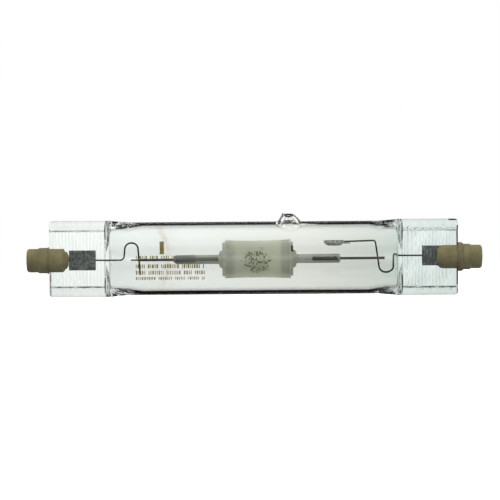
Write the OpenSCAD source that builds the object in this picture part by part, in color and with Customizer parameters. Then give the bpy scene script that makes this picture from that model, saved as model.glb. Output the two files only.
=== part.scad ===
// Double-ended metal halide lamp.
// A quartz tube is pinched flat at both ends round a molybdenum foil, and a ceramic cap with a
// recessed contact is cemented on each pinch. Inside, two bent leads carry a ceramic arc tube.
// The lamp lies along X with its tip-off up, and stands on the lower edges of its two pinches.
// Both ends are drawn on the +X side, and the left one is then mirrored.

/* [Overall] */
// Distance between the two contact faces
contact_span = 132; // [130:0.5:150]
// From the left contact face to the outer end of the left pinch
left_pinch_back = 4.2; // [4:0.1:5]
// From the right contact face to the outer end of the right pinch
right_pinch_back = 4.7; // [4:0.1:5]

/* [Quartz envelope] */
// Outer diameter of the tube
tube_d = 22; // [20:0.1:24]
// Wall of the tube
tube_wall = 1.25; // [0.9:0.05:1.8]
// Length of the shoulder from the round tube to the flat pinch
shoulder_len = 7; // [5:0.1:9]
// How far the cavity stops before the pinch
cavity_stop = 1.1; // [0.6:0.1:1.5]
// Thickness of the cavity where it runs out
cavity_end_t = 1; // [0.6:0.1:1.6]
// Corner radius of the cavity
cavity_round = 2; // [1:0.1:3]
// Length of each pinch
pinch_len = 17; // [16:0.1:18.5]
// Width of each pinch
pinch_w = 23; // [22:0.1:25]
// Thickness of the flat between the rails
pinch_t = 3; // [2.4:0.1:3.4]
// Radius of the outer corners of the pinch
pinch_round = 1.1; // [0.5:0.1:2]
// Width of the thick rail along each edge of the pinch
rail_w = 3; // [2:0.1:4]
// Thickness of the rails
rail_t = 5.2; // [4.6:0.1:6]
// Edge radius of the rails
rail_round = 0.8; // [0.3:0.1:1]
// Spacing of the pressed ribs across the flat
rib_pitch = 1.05; // [0.9:0.05:1.6]
// Height of the ribs
rib_h = 0.16; // [0.05:0.01:0.25]

/* [Tip-off] */
// Place of the sealed exhaust tip along the lamp
tip_x = 10.6; // [4:0.1:16]
// Diameter of the tip at the tube
tip_base_d = 7.4; // [6:0.1:8]
// Diameter of its flat top
tip_top_d = 3.3; // [2:0.1:4]
// Height over the tube
tip_h = 2.5; // [1.5:0.1:3.5]
// Lean of the tip to the front
tip_lean = 15; // [0:1:20]
// Lean of the tip to the left
tip_slant = 9; // [0:1:12]
// Diameter of the drawn nipple on the top
nipple_d = 0.8; // [0.5:0.1:1.2]
// Glass over the bubble inside the tip
tip_wall = 0.8; // [0.6:0.1:1.2]

/* [Ceramic caps] */
// Length of the left cap
left_cap_len = 12.7; // [12:0.1:14.5]
// Length of the right cap
right_cap_len = 13.7; // [12:0.1:14.5]
// Diameter of the outer part of a cap
cap_d = 7.1; // [6.6:0.1:7.6]
// Length of that outer part
cap_shank = 3.4; // [3:0.1:4.5]
// Diameter of the part that straddles the pinch
fork_d = 7.7; // [7.2:0.1:8.4]
// Edge radius of the outer end
cap_round = 0.9; // [0.4:0.1:1.2]
// Length of the tapered nose
nose_len = 1.8; // [1:0.1:2.5]
// Diameter of the left nose at its end
left_nose_d = 4.3; // [3.9:0.1:6]
// Diameter of the right nose at its end
right_nose_d = 5.2; // [3.9:0.1:6]
// Height of the left cap's axis over the tube's axis
left_cap_z = -0.4; // [-0.6:0.1:0.6]
// Height of the right cap's axis over the tube's axis
right_cap_z = 0; // [-0.6:0.1:0.6]
// Diameter of the contact recess
recess_d = 4.2; // [3.8:0.1:4.8]
// Depth of the recess down to the contact
recess_depth = 2.6; // [2:0.1:3]
// Diameter of the contact button
button_d = 3.5; // [3:0.1:3.7]
// Thickness of the contact button
button_t = 0.6; // [0.4:0.1:0.9]
// Cement between the pinch and each side of the slot
cement_gap = 0.12; // [0.08:0.01:0.2]
// Cement between the end of the pinch and the bottom of the slot
cement_end = 0.5; // [0.3:0.1:0.8]
// Outer diameter of the bead on the left cap
left_bead_d = 8.1; // [8:0.1:9]
// Length of the bead on the left cap
left_bead_len = 0.6; // [0.5:0.1:2]
// Outer diameter of the bead on the right cap
right_bead_d = 8.7; // [8:0.1:9.2]
// Length of the bead on the right cap
right_bead_len = 1.8; // [0.5:0.1:2.5]

/* [Foils and leads] */
// Length of each molybdenum foil
foil_len = 8; // [7:0.1:8.5]
// Width of each foil
foil_w = 6; // [5:0.1:7]
// Thickness of each foil
foil_t = 0.05; // [0.03:0.01:0.08]
// From the inner end of the left pinch to its foil
left_foil_in = 3; // [2:0.1:4]
// From the inner end of the right pinch to its foil
right_foil_in = 6.2; // [5:0.1:7]
// Height of the right foil's middle over the tube's axis
right_foil_z = 0.4; // [0:0.1:0.8]
// Diameter of the lead wires
lead_d = 0.5; // [0.4:0.05:0.6]
// Length of a lead that lies on its foil
foil_lap = 1.5; // [1:0.1:2.5]
// Height of the left lead's loop over the tube's axis
left_loop_z = 4.75; // [3.5:0.05:5.5]
// Width of the left lead's loop
left_loop_w = 3.65; // [3:0.05:4.5]
// Free end of the left lead under the tube's axis
left_tail_z = 4.9; // [3:0.1:6]
// Depth of the right lead's loop under the tube's axis
right_loop_z = 4.6; // [3.5:0.05:5.5]
// Height of the right lead where it leaves the pinch
right_lead_z = 0.45; // [0.2:0.05:0.8]
// Height of the arm that carries the getter
arm_z = 4.8; // [3.5:0.05:5.5]

/* [Arc tube] */
// Place of the middle of the arc tube along the lamp
arc_x = 1; // [-1:0.1:2]
// Drop of the arc tube's axis under the tube's axis
arc_drop = 0.33; // [0:0.01:0.6]
// Tilt of the arc tube, right end up
arc_tilt = 0.15; // [0:0.05:0.4]
// Length of the barrel
barrel_len = 19.8; // [18:0.1:21]
// Outer diameter of the barrel at its left end
barrel_left_d = 11.5; // [10.8:0.05:12]
// Outer diameter of the barrel at its waist
barrel_waist_d = 11.1; // [10.6:0.05:12]
// Outer diameter of the barrel at its right end
barrel_right_d = 11.75; // [10.8:0.05:12]
// Inner diameter of the barrel
barrel_bore_d = 9.5; // [9:0.1:9.8]
// Depth of the end plugs in the barrel
plug_depth = 2.6; // [2:0.1:3.2]
// Diameter of the plug's shoulder on the barrel's end
flange_d = 10.3; // [10:0.05:10.7]
// Thickness of that shoulder
flange_t = 0.75; // [0.5:0.05:1]
// Diameter of the hub where a leg leaves its plug
hub_d = 5.2; // [4.4:0.1:6]
// Length of the hub
hub_len = 1; // [0.6:0.1:1.4]
// Reach of each leg, as a share of the room between the barrel and the left pinch
leg_share = 0.424; // [0.38:0.002:0.45]
// Outer diameter of the legs
leg_d = 2.7; // [2.3:0.05:3]
// Bore of the legs
leg_bore_d = 1; // [0.94:0.02:1.2]

/* [Feedthroughs and electrodes] */
// Diameter of the niobium rods
rod_d = 0.8; // [0.6:0.02:0.9]
// Length of rod inside a leg
rod_in = 5.8; // [4.5:0.1:7]
// From the left end of the cavity to the weld on the left lead
left_weld_in = 8.8; // [8:0.1:9.5]
// From the right end of the cavity to the weld on the right lead
right_weld_in = 6.3; // [6:0.1:7]
// Length of the thin tail of the left rod past its weld
left_rod_tail = 2.3; // [1:0.1:3]
// Diameter of that tail
rod_tail_d = 0.45; // [0.3:0.05:0.6]
// Length of the right rod past its weld
right_rod_past = 2.4; // [1:0.1:3]
// Length of the frit inside a leg
frit_in = 5; // [3.5:0.1:5.5]
// Length of the left frit's cone outside the leg
left_frit_cone = 0.8; // [0.3:0.1:1.2]
// Length of the right frit's cone outside the leg
right_frit_cone = 0.3; // [0.3:0.1:1.2]
// Diameter of the molybdenum mandrels
mandrel_d = 0.44; // [0.36:0.02:0.5]
// Diameter of the wire wound on the mandrels
overwind_d = 0.18; // [0.12:0.01:0.2]
// Diameter of the tungsten shanks
shank_d = 0.5; // [0.4:0.02:0.6]
// Length of each shank inside its plug and leg
shank_in = 4.1; // [3.5:0.1:5]
// Reach of each electrode from the plug into the barrel
electrode_reach = 2.5; // [2.2:0.1:4]
// Diameter of the wire of the electrode coils
coil_wire_d = 0.3; // [0.2:0.02:0.4]
// Turns of an electrode coil
coil_turns = 5; // [3:1:5]
// Bare tip past the coil
tip_bare = 0.5; // [0.3:0.1:0.6]

/* [Getter and doses] */
// Place of the getter dish, as a share of the way from the barrel to the right weld
getter_share = 0.504; // [0.48:0.002:0.52]
// Outer diameter of the dish
getter_d = 6.3; // [5.5:0.1:7]
// Depth of the dish
getter_depth = 1.55; // [1:0.05:2]
// Height of the dish's upright rim
getter_rim = 0.75; // [0.5:0.05:0.9]
// Sheet of the dish
getter_sheet = 0.2; // [0.12:0.02:0.3]
// Number of dimple holes round the rim
getter_holes = 11; // [8:1:12]
// Diameter of those holes
getter_hole_d = 0.42; // [0.3:0.02:0.5]
// Length of the tab welded to the lead
tab_len = 1.7; // [1.2:0.1:2.5]
// Width of the tab
tab_w = 1.2; // [0.8:0.1:2]
// Thickness of the tab where it is folded on the lead
tab_t = 0.4; // [0.2:0.05:0.5]
// Thickness of the condensed halide film
film_t = 0.12; // [0.06:0.01:0.2]
// Diameter of the mercury droplet
drop_d = 0.9; // [0.5:0.05:1.2]

/* [Hidden] */
$fn = 64;

// Play between metal and the glass melted round it
melt_gap = 0.01;
// Play between pieces that are welded or sintered together
weld_gap = 0.01;
// Play of the contact button in its seat
seat_gap = 0.05;
// Play of an outer lead in its cap
lead_hole_gap = 0.1;
// How far the edge profile starts outside the round of the tube, so that the two cross cleanly
bite = 0.4;
// Steps along a shoulder
shoulder_steps = 12;
// Steps round a quarter corner
corner_steps = 4;
// Smooth glass at each end of the ribs
rib_margin = 0.9;
// How far the rails run into the shoulder
rail_run_in = 2.5;
// Rise and end of the nipple, in its own diameters
nipple_rise = 0.8;
nipple_end = 0.7;
// Sides of a bent wire
wire_sides = 12;
// Degrees between the sections of a bend
bend_step = 11;
// Pitch of the electrode coils and of the overwinds, in wire diameters
coil_spread = 1.04;
overwind_spread = 1.2;
// Sections round a turn, and sides of the wire, of the electrode coils
coil_steps = 14;
coil_sides = 6;
// The same for the much finer overwinds
overwind_steps = 9;
overwind_sides = 4;
// Straight part of a cement bead, as a share of its length
bead_flat = 0.6;
// Broken edge of the contact buttons, as a share of their thickness
button_edge = 0.3;
// Broken edges of the alumina pieces
barrel_chamfer = 0.15;
plug_edge = 0.2;
// How far the frit's cone stays inside the rim of its leg
frit_inset = 0.15;
// How far the foot of that cone spreads on the rod
frit_foot = 0.12;
// How far the dish's rim stands over the wire
rim_over_wire = 0.1;
// Flat bottom of the dish, as a share of its width
dish_floor = 0.55;
// Where the slope of the dish breaks, as a share of its height
dish_break = 0.35;
// Slope of the fill in the dish, as a share of its height
fill_slope = 0.45;
// Draw of the dish's upright rim, as a share of its width
dish_draw = 0.97;
// Blots of the halide film: place along the barrel, height over its axis and radius
film_blots = [
    [-3.1, 1.3, 0.8], [-2.2, 0.2, 1.1], [-1.2, -1, 1.3], [0.2, -1.8, 1.6], [1.8, -1.4, 1.4],
    [3, -0.2, 1.2], [1.2, 0.6, 1.3], [-0.5, 0.9, 1.1], [2.2, 1.2, 0.8], [2.4, -2.4, 0.9]
];
// Place of the mercury droplet along the barrel
drop_place = -1.5;
// Left lead: how far it starts to rise outside the loop, and how the loop leans over the weld
left_rise_out = 0.85;
left_loop_lean = 0.3;
left_tail_lean = 0.5;
left_rise_round = 1.3;
// Right lead: its small step just inside the pinch
step_place = 0.2;
step_run = 0.5;
step_top = 0.55;
step_h = 0.47;
step_rounds = [0.5, 0.4, 0.35];
// Right lead: where the loop goes down and comes up, and how the arm leans
loop_out_in = 1.6;
loop_in_out = 0.85;
arm_lean = 0.45;
arm_droop = 0.25;
arm_round = 0.8;
// Radius of a loop, as a share of its width
loop_round = 0.49;

axis_z = pinch_w / 2;
tube_r = tube_d / 2;
cavity_r = tube_r - tube_wall;
contact_x = contact_span / 2;
left_seal_x = contact_x - left_pinch_back - pinch_len;
right_seal_x = contact_x - right_pinch_back - pinch_len;
left_cavity_x = left_seal_x - cavity_stop;
right_cavity_x = right_seal_x - cavity_stop;
rail_corner_r = norm([pinch_w / 2, rail_t / 2]);
cap_end_x = contact_x + recess_depth;
slot_w = pinch_t + 2 * rib_h + 2 * cement_gap;
lead_r = lead_d / 2;
rod_r = rod_d / 2;
arc_y = lead_r + rod_r + weld_gap;
left_foil_x = left_seal_x + left_foil_in;
right_foil_x = right_seal_x + right_foil_in;
barrel_end = barrel_len / 2;
leg_end = barrel_end + leg_share * (left_seal_x - barrel_end);
left_weld_x = left_cavity_x - left_weld_in;
right_weld_x = right_cavity_x - right_weld_in;
left_rod_reach = left_weld_x + arc_x;
right_rod_reach = right_weld_x - arc_x;
getter_x = arc_x + barrel_end + getter_share * (right_rod_reach - barrel_end);
rim_z = arm_z + lead_r + rim_over_wire;
getter_knee_z = rim_z - getter_rim;
shank_tip = barrel_end - plug_depth - electrode_reach;
mandrel_out = leg_end - rod_in - weld_gap;
mandrel_in = barrel_end - plug_depth + shank_in;
mandrel_len = mandrel_out - mandrel_in;
coil_pitch = coil_wire_d * coil_spread;
overwind_pitch = overwind_d * overwind_spread;

// Points of a quarter round
function quarter(cx, cy, r, start) = [
    for (i = [0:corner_steps])
        let (a = start + 90 * i / corner_steps)
            [cx + r * cos(a), cy + r * sin(a)]
];

// A closed outline from its upper edge, which is repeated below the X axis
function both_sides(upper) = concat(
    upper,
    [for (i = [len(upper) - 1:-1:0]) [upper[i][0], -upper[i][1]]]
);

module lift() {
    translate([0, 0, axis_z])
        children();
}

// Turns a shape drawn along Z so that it lies along X, from x on
module along_x(x) {
    translate([x, 0, 0])
        rotate([0, 90, 0])
            children();
}

// Puts a shape drawn for the +X end on its side of the lamp
module on_side(side) {
    mirror([side < 0 ? 1 : 0, 0, 0])
        children();
}

// The frame of the arc tube, which sits a little low, behind the leads and off level
module in_arc_frame() {
    translate([arc_x, arc_y, axis_z - arc_drop])
        rotate([0, -arc_tilt, 0])
            children();
}

// Upper edge of one end seen from its edge, from the tube outwards: it keeps its height at first
// and drops steeply at the pinch
function shoulder_edge(seal_x, stop, r, end_half) = [
    for (i = [0:shoulder_steps])
        let (a = 90 * i / shoulder_steps)
            [
                seal_x - shoulder_len + (shoulder_len - stop) * sqrt(sin(a)),
                end_half + (r + bite - end_half) * cos(a)
            ]
];

function rib_edge(seal_x) =
    let (count = floor((pinch_len - 2 * rib_margin) / rib_pitch))
        [
            for (k = [0:count - 1])
                for (p = [[0, 0], [0.25, 1], [0.5, 1], [0.75, 0]])
                    [
                        seal_x + rib_margin + (k + p[0]) * rib_pitch,
                        pinch_t / 2 + p[1] * rib_h
                    ]
        ];

function glass_edge(seal_x) = concat(
    shoulder_edge(seal_x, 0, tube_r, pinch_t / 2),
    rib_edge(seal_x),
    [[seal_x + pinch_len, pinch_t / 2]]
);

function flip(points) = [for (i = [len(points) - 1:-1:0]) [-points[i][0], points[i][1]]];

module rail_section() {
    half = rail_t / 2;
    top = pinch_w / 2;
    polygon(concat(
        [[half, top - rail_w]],
        quarter(half - rail_round, top - rail_round, rail_round, 0),
        quarter(rail_round - half, top - rail_round, rail_round, 90),
        [[-half, top - rail_w]]
    ));
}

module rails(side, seal_x) {
    run = rail_run_in + pinch_len;
    on_side(side)
        for (turn = [0, 180])
            translate([seal_x - rail_run_in, 0, 0])
                rotate([turn, 0, 0])
                    rotate([90, 0, 90])
                        linear_extrude(height = run)
                            rail_section();
}

// The lamp seen face on: a rectangle with round corners
module face_outline(x_left, x_right, half, round) {
    polygon(concat(
        quarter(x_right - round, half - round, round, 0),
        quarter(round - x_left, half - round, round, 90),
        quarter(round - x_left, round - half, round, 180),
        quarter(x_right - round, round - half, round, 270)
    ));
}

// Round blank of the glass, a little wider over the pinches
module glass_blank() {
    left_end = left_seal_x + pinch_len;
    right_end = right_seal_x + pinch_len;
    along_x(0)
        rotate_extrude()
            polygon([
                [0, -left_end],
                [rail_corner_r, -left_end],
                [rail_corner_r, -left_seal_x],
                [tube_r, shoulder_len - left_seal_x],
                [tube_r, right_seal_x - shoulder_len],
                [rail_corner_r, right_seal_x],
                [rail_corner_r, right_end],
                [0, right_end]
            ]);
}

module glass_outside() {
    intersection() {
        glass_blank();
        union() {
            linear_extrude(height = pinch_w, center = true)
                polygon(both_sides(concat(
                    flip(glass_edge(left_seal_x)),
                    glass_edge(right_seal_x)
                )));
            rails(-1, left_seal_x);
            rails(1, right_seal_x);
        }
        rotate([90, 0, 0])
            linear_extrude(height = 2 * rail_corner_r, center = true)
                face_outline(
                    left_seal_x + pinch_len,
                    right_seal_x + pinch_len,
                    pinch_w / 2,
                    pinch_round
                );
    }
}

module glass_cavity() {
    half = cavity_end_t / 2;
    intersection() {
        along_x(-left_cavity_x)
            cylinder(h = left_cavity_x + right_cavity_x, r = cavity_r);
        linear_extrude(height = tube_d, center = true)
            polygon(both_sides(concat(
                flip(shoulder_edge(left_seal_x, cavity_stop, cavity_r, half)),
                shoulder_edge(right_seal_x, cavity_stop, cavity_r, half)
            )));
        rotate([90, 0, 0])
            linear_extrude(height = tube_d, center = true)
                face_outline(left_cavity_x, right_cavity_x, cavity_r, cavity_round);
    }
}

module tip_frame() {
    translate([tip_x, 0, 0])
        rotate([tip_lean, 0, 0])
            translate([0, 0, tube_r])
                rotate([0, -tip_slant, 0])
                    children();
}

// Side of the tip from the tube up to its flat top, as shares of its radii and its height
function tip_side(base_r, top_r, top) = [
    for (p = [[0.97, 0, 0], [0.8, 0, 0.36], [0.5, 0.5, 0.62], [0, 1.12, 0.92], [0, 0.94, 1]])
        [base_r * p[0] + top_r * p[1], top * p[2]]
];

module tip_body(base_r, top_r, root, top) {
    rotate_extrude()
        polygon(concat(
            [[0, root], [base_r, root]],
            tip_side(base_r, top_r, top),
            [[0, top]]
        ));
}

module tip_outside() {
    base_r = tip_base_d / 2;
    top_r = tip_top_d / 2;
    tip_frame() {
        tip_body(base_r, top_r, -tube_wall / 2, tip_h);
        translate([nipple_d - top_r, 0, 0])
            cylinder(h = tip_h + nipple_d * nipple_rise, d1 = nipple_d * 2, d2 = nipple_d * nipple_end);
    }
}

// The bubble left inside when the exhaust tube was drawn shut
module tip_bubble() {
    tip_frame()
        tip_body(
            tip_base_d / 2 - tube_wall,
            tip_top_d / 2 - tip_wall / 2,
            -tube_wall - bite,
            tip_h - tip_wall
        );
}

module foil_shape(side, foil_x, foil_z, gap) {
    on_side(side)
        translate([foil_x - gap, -lead_r - weld_gap - foil_t - gap, foil_z - foil_w / 2 - gap])
            cube([foil_len + 2 * gap, foil_t + 2 * gap, foil_w + 2 * gap]);
}

module straight_wire(side, x_in, x_out, z, gap) {
    on_side(side)
        translate([0, 0, z])
            along_x(x_in)
                cylinder(h = x_out - x_in, r = lead_r + gap);
}

// What the glass was melted round at one end
module metal_in_glass(side, seal_x, foil_x, foil_z, lead_z, cap_z) {
    end_x = seal_x + pinch_len;
    foil_shape(side, foil_x, foil_z, melt_gap);
    straight_wire(side, seal_x - cavity_stop - bite, foil_x + foil_lap + melt_gap, lead_z, melt_gap);
    straight_wire(side, foil_x + foil_len - foil_lap - melt_gap, end_x + bite, cap_z, melt_gap);
}

module quartz_envelope() {
    color([0.9, 0.94, 0.93, 0.35])
        lift()
            difference() {
                union() {
                    glass_outside();
                    tip_outside();
                }
                glass_cavity();
                tip_bubble();
                metal_in_glass(-1, left_seal_x, left_foil_x, left_cap_z, left_cap_z, left_cap_z);
                metal_in_glass(1, right_seal_x, right_foil_x, right_foil_z, right_lead_z, right_cap_z);
            }
}

// Outline of a cap from its nose outwards, turned round the cap's axis
module cap_blank(cap_len, nose_d, bulge) {
    nose_x = cap_end_x - cap_len;
    nose_r = nose_d / 2;
    fork_r = fork_d / 2;
    cap_r = cap_d / 2;
    along_x(0)
        rotate_extrude()
            polygon(concat(
                [[0, nose_x]],
                [
                    for (i = [0:shoulder_steps])
                        let (t = i / shoulder_steps)
                            [nose_r + (fork_r - nose_r) * pow(t, 1 / bulge), nose_x + nose_len * t]
                ],
                [
                    [fork_r, cap_end_x - cap_shank - fork_r + cap_r],
                    [cap_r, cap_end_x - cap_shank]
                ],
                quarter(cap_r - cap_round, cap_end_x - cap_round, cap_round, 0),
                [[0, cap_end_x]]
            ));
}

module cap_slot(cap_len, seal_x) {
    nose_x = cap_end_x - cap_len;
    bottom = seal_x + pinch_len + cement_end;
    translate([nose_x, -slot_w / 2, -fork_d / 2])
        cube([bottom - nose_x, slot_w, fork_d]);
}

module ceramic_cap(side, cap_len, cap_z, nose_d, bulge, seal_x) {
    color([0.5, 0.47, 0.34])
        lift()
            on_side(side)
                translate([0, 0, cap_z])
                    difference() {
                        cap_blank(cap_len, nose_d, bulge);
                        cap_slot(cap_len, seal_x);
                        along_x(contact_x)
                            cylinder(h = recess_depth + bite, d = recess_d);
                        along_x(contact_x - button_t - seat_gap)
                            cylinder(h = button_t + 2 * seat_gap, d = button_d + 2 * seat_gap);
                        along_x(seal_x + pinch_len)
                            cylinder(h = contact_x - seal_x - pinch_len, r = lead_r + lead_hole_gap);
                    }
}

// Cement: a thin layer in the slot, a plug behind the pinch and a bead round the outside
module cap_cement(side, cap_len, cap_z, nose_d, bulge, seal_x, bead_d, bead_len) {
    end_x = seal_x + pinch_len;
    fork_r = fork_d / 2;
    bead_r = bead_d / 2;
    color([0.56, 0.53, 0.42])
        lift()
            difference() {
                on_side(side)
                    translate([0, 0, cap_z]) {
                        intersection() {
                            cap_blank(cap_len, nose_d, bulge);
                            cap_slot(cap_len, seal_x);
                        }
                        along_x(end_x)
                            rotate_extrude()
                                polygon([
                                    [fork_r, 0],
                                    [bead_r, 0],
                                    [bead_r, bead_len * bead_flat],
                                    [fork_r, bead_len]
                                ]);
                    }
                glass_outside();
                straight_wire(side, end_x - bite, contact_x, cap_z, melt_gap);
            }
}

module contact_button(side, cap_z) {
    edge = button_t * button_edge;
    color([0.72, 0.7, 0.66])
        lift()
            on_side(side)
                translate([0, 0, cap_z])
                    along_x(contact_x - button_t)
                        difference() {
                            union() {
                                cylinder(h = button_t - edge, d = button_d);
                                translate([0, 0, button_t - edge])
                                    cylinder(h = edge, d1 = button_d, d2 = button_d - 2 * edge);
                            }
                            translate([0, 0, -bite])
                                cylinder(h = button_t + 2 * bite, r = lead_r + weld_gap);
                        }
}

module outer_lead(side, foil_x, cap_z) {
    color([0.4, 0.4, 0.42])
        lift()
            straight_wire(side, foil_x + foil_len - foil_lap, contact_x, cap_z, 0);
}

module foil(side, foil_x, foil_z) {
    color([0.3, 0.32, 0.33])
        lift()
            foil_shape(side, foil_x, foil_z, 0);
}

// Unit vector from one point of a wire to the next
function heading(a, b) = (b - a) / norm(b - a);

// Signed turn between two headings
function turn(u, v) = atan2(u[0] * v[1] - u[1] * v[0], u * v);

// Middle line of a bend at corner b between a and c, one point every bend_step degrees
function bend(a, b, c, r) =
    let (
        u = heading(a, b),
        angle = turn(u, heading(b, c)),
        way = sign(angle),
        side = way * [-u[1], u[0]],
        centre = b - u * r * tan(abs(angle) / 2) + side * r,
        count = ceil(abs(angle) / bend_step)
    )
        [
            for (i = [0:count])
                let (t = abs(angle) * i / count)
                    centre + r * (u * sin(t) - side * cos(t))
        ];

// Middle line of a whole wire, from its corner points and the bend radius at each
function wire_line(points, radii) = concat(
    [points[0]],
    [
        for (i = [1:len(points) - 2])
            each bend(points[i - 1], points[i], points[i + 1], radii[i])
    ],
    [points[len(points) - 1]]
);

// Direction across a wire at one point of its middle line
function across(line, i) =
    let (
        u = heading(line[max(i - 1, 0)], line[max(i, 1)]),
        v = heading(line[min(i, len(line) - 2)], line[min(i + 1, len(line) - 1)]),
        w = (u + v) / norm(u + v)
    )
        [-w[1], w[0]] / cos(turn(u, v) / 2);

// Skin between rings of points, closed at both ends
module ring_skin(points, sides) {
    count = len(points) / sides - 1;
    skin = [
        for (i = [0:count - 1])
            for (k = [0:sides - 1])
                let (
                    here = i * sides,
                    next = here + sides,
                    far = (k + 1) % sides
                )
                    each [
                        [here + k, next + k, next + far],
                        [here + k, next + far, here + far]
                    ]
    ];
    polyhedron(
        points = points,
        faces = concat(
            [[for (k = [0:sides - 1]) k]],
            skin,
            [[for (k = [sides - 1:-1:0]) count * sides + k]]
        ),
        convexity = 10
    );
}

// Round wire bent in the XZ plane
module bent_wire(points, radii, wire_r) {
    line = wire_line(points, radii);
    ring_skin(
        [
            for (i = [0:len(line) - 1])
                for (k = [0:wire_sides - 1])
                    let (
                        b = 360 * k / wire_sides,
                        n = across(line, i) * wire_r * cos(b)
                    )
                        [line[i][0] + n[0], wire_r * sin(b), line[i][1] + n[1]]
        ],
        wire_sides
    );
}

module left_inner_lead() {
    rise = left_weld_x + left_loop_w + left_rise_out;
    loop_x = left_weld_x + left_loop_lean;
    loop_r = left_loop_w * loop_round;
    color([0.16, 0.16, 0.17])
        lift()
            on_side(-1)
                bent_wire(
                    [
                        [left_foil_x + foil_lap, left_cap_z],
                        [rise, left_cap_z],
                        [loop_x + left_loop_w, left_loop_z],
                        [loop_x, left_loop_z],
                        [left_weld_x - left_tail_lean, -left_tail_z]
                    ],
                    [0, left_rise_round, loop_r, loop_r, 0],
                    lead_r
                );
}

module right_inner_lead() {
    step_out = right_cavity_x - step_place;
    step_z = right_lead_z + step_h;
    loop_in = right_weld_x + loop_in_out;
    loop_out = right_cavity_x - loop_out_in;
    loop_r = (loop_out - loop_in) * loop_round;
    arm_end = getter_x + getter_d / 2 + weld_gap;
    color([0.16, 0.16, 0.17])
        lift()
            bent_wire(
                [
                    [right_foil_x + foil_lap, right_lead_z],
                    [step_out, right_lead_z],
                    [step_out - step_run, step_z],
                    [step_out - step_run - step_top, step_z],
                    [loop_out, -right_loop_z],
                    [loop_in, -right_loop_z],
                    [right_weld_x - arm_lean, arm_z + arm_droop],
                    [arm_end, arm_z]
                ],
                [0, each step_rounds, loop_r, loop_r, arm_round, 0],
                lead_r
            );
}

// Outer radius of the barrel, waisted between its ends, t from 0 at the left to 1 at the right
function barrel_r(t) =
    let (
        ends = barrel_left_d + (barrel_right_d - barrel_left_d) * t,
        middle = (barrel_left_d + barrel_right_d) / 2
    )
        (ends - (middle - barrel_waist_d) * 4 * t * (1 - t)) / 2;

module arc_tube_barrel() {
    bore_r = barrel_bore_d / 2;
    color([0.75, 0.75, 0.7])
        in_arc_frame()
            along_x(0)
                rotate_extrude()
                    polygon(concat(
                        [[bore_r, -barrel_end], [barrel_r(0) - barrel_chamfer, -barrel_end]],
                        [
                            for (i = [0:shoulder_steps])
                                let (t = i / shoulder_steps)
                                    [
                                        barrel_r(t),
                                        (barrel_end - barrel_chamfer) * (2 * t - 1)
                                    ]
                        ],
                        [[barrel_r(1) - barrel_chamfer, barrel_end], [bore_r, barrel_end]]
                    ));
}

module plug_and_leg(side) {
    bore_r = leg_bore_d / 2;
    plug_r = barrel_bore_d / 2 - weld_gap;
    seat = barrel_end + weld_gap;
    flange_out = seat + flange_t;
    hub_out = flange_out + hub_len;
    edge = plug_edge;
    color([0.72, 0.72, 0.66])
        in_arc_frame()
            on_side(side)
                along_x(0)
                    rotate_extrude()
                        polygon([
                            [bore_r + edge, barrel_end - plug_depth],
                            [plug_r - edge, barrel_end - plug_depth],
                            [plug_r, barrel_end - plug_depth + edge],
                            [plug_r, seat],
                            [flange_d / 2, seat],
                            [flange_d / 2, flange_out - edge],
                            [flange_d / 2 - edge, flange_out],
                            [hub_d / 2 + edge, flange_out],
                            [hub_d / 2, flange_out + edge],
                            [hub_d / 2 - edge, hub_out - edge],
                            [leg_d / 2 + edge, hub_out],
                            [leg_d / 2, hub_out + edge],
                            [leg_d / 2, leg_end - edge / 2],
                            [leg_d / 2 - edge / 2, leg_end],
                            [bore_r, leg_end],
                            [bore_r, barrel_end - plug_depth + edge]
                        ]);
}

module niobium_rod(side, weld, past_weld, tail_d) {
    start = leg_end - rod_in;
    stub = tail_d < rod_d ? lead_r : past_weld;
    color([0.25, 0.25, 0.26])
        in_arc_frame()
            on_side(side) {
                along_x(start)
                    cylinder(h = weld + stub - start, r = rod_r);
                along_x(weld)
                    cylinder(h = past_weld, d = tail_d);
            }
}

module frit_seal(side, frit_cone) {
    inner_r = rod_r + weld_gap;
    outer_r = leg_bore_d / 2 - weld_gap;
    cone_r = leg_d / 2 - frit_inset;
    face = leg_end + weld_gap;
    foot_r = rod_r + frit_foot;
    color([0.45, 0.46, 0.4])
        in_arc_frame()
            on_side(side)
                along_x(0)
                    rotate_extrude()
                        polygon([
                            [inner_r, leg_end - frit_in],
                            [outer_r, leg_end - frit_in],
                            [outer_r, face],
                            [cone_r, face],
                            [(cone_r + foot_r) / 2, face + frit_cone / 2],
                            [foot_r, face + frit_cone],
                            [inner_r, face + frit_cone]
                        ]);
}

module mandrel(side) {
    color([0.3, 0.3, 0.32])
        in_arc_frame()
            on_side(side)
                along_x(mandrel_in)
                    cylinder(h = mandrel_len, d = mandrel_d);
}

// One section of a coil's wire, at an angle round the coil
function coil_section(angle, path_r, wire_r, pitch, sides) = [
    for (k = [0:sides - 1])
        let (b = 360 * k / sides, r = path_r + wire_r * cos(b))
            [r * cos(angle), r * sin(angle), pitch * angle / 360 + wire_r * sin(b)]
];

// Close-wound coil along Z that just clears the core it is wound on
module wire_coil(core_r, wire_r, pitch, turns, steps, sides) {
    path_r = (core_r + weld_gap) / cos(180 / steps) + wire_r;
    ring_skin(
        [
            for (i = [0:turns * steps])
                each coil_section(360 * i / steps, path_r, wire_r, pitch, sides)
        ],
        sides
    );
}

module overwind(side) {
    turns = floor((mandrel_len - 2 * overwind_d) / overwind_pitch);
    color([0.34, 0.34, 0.36])
        in_arc_frame()
            on_side(side)
                along_x(mandrel_in + overwind_d)
                    wire_coil(mandrel_d / 2, overwind_d / 2, overwind_pitch, turns, overwind_steps, overwind_sides);
}

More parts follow.
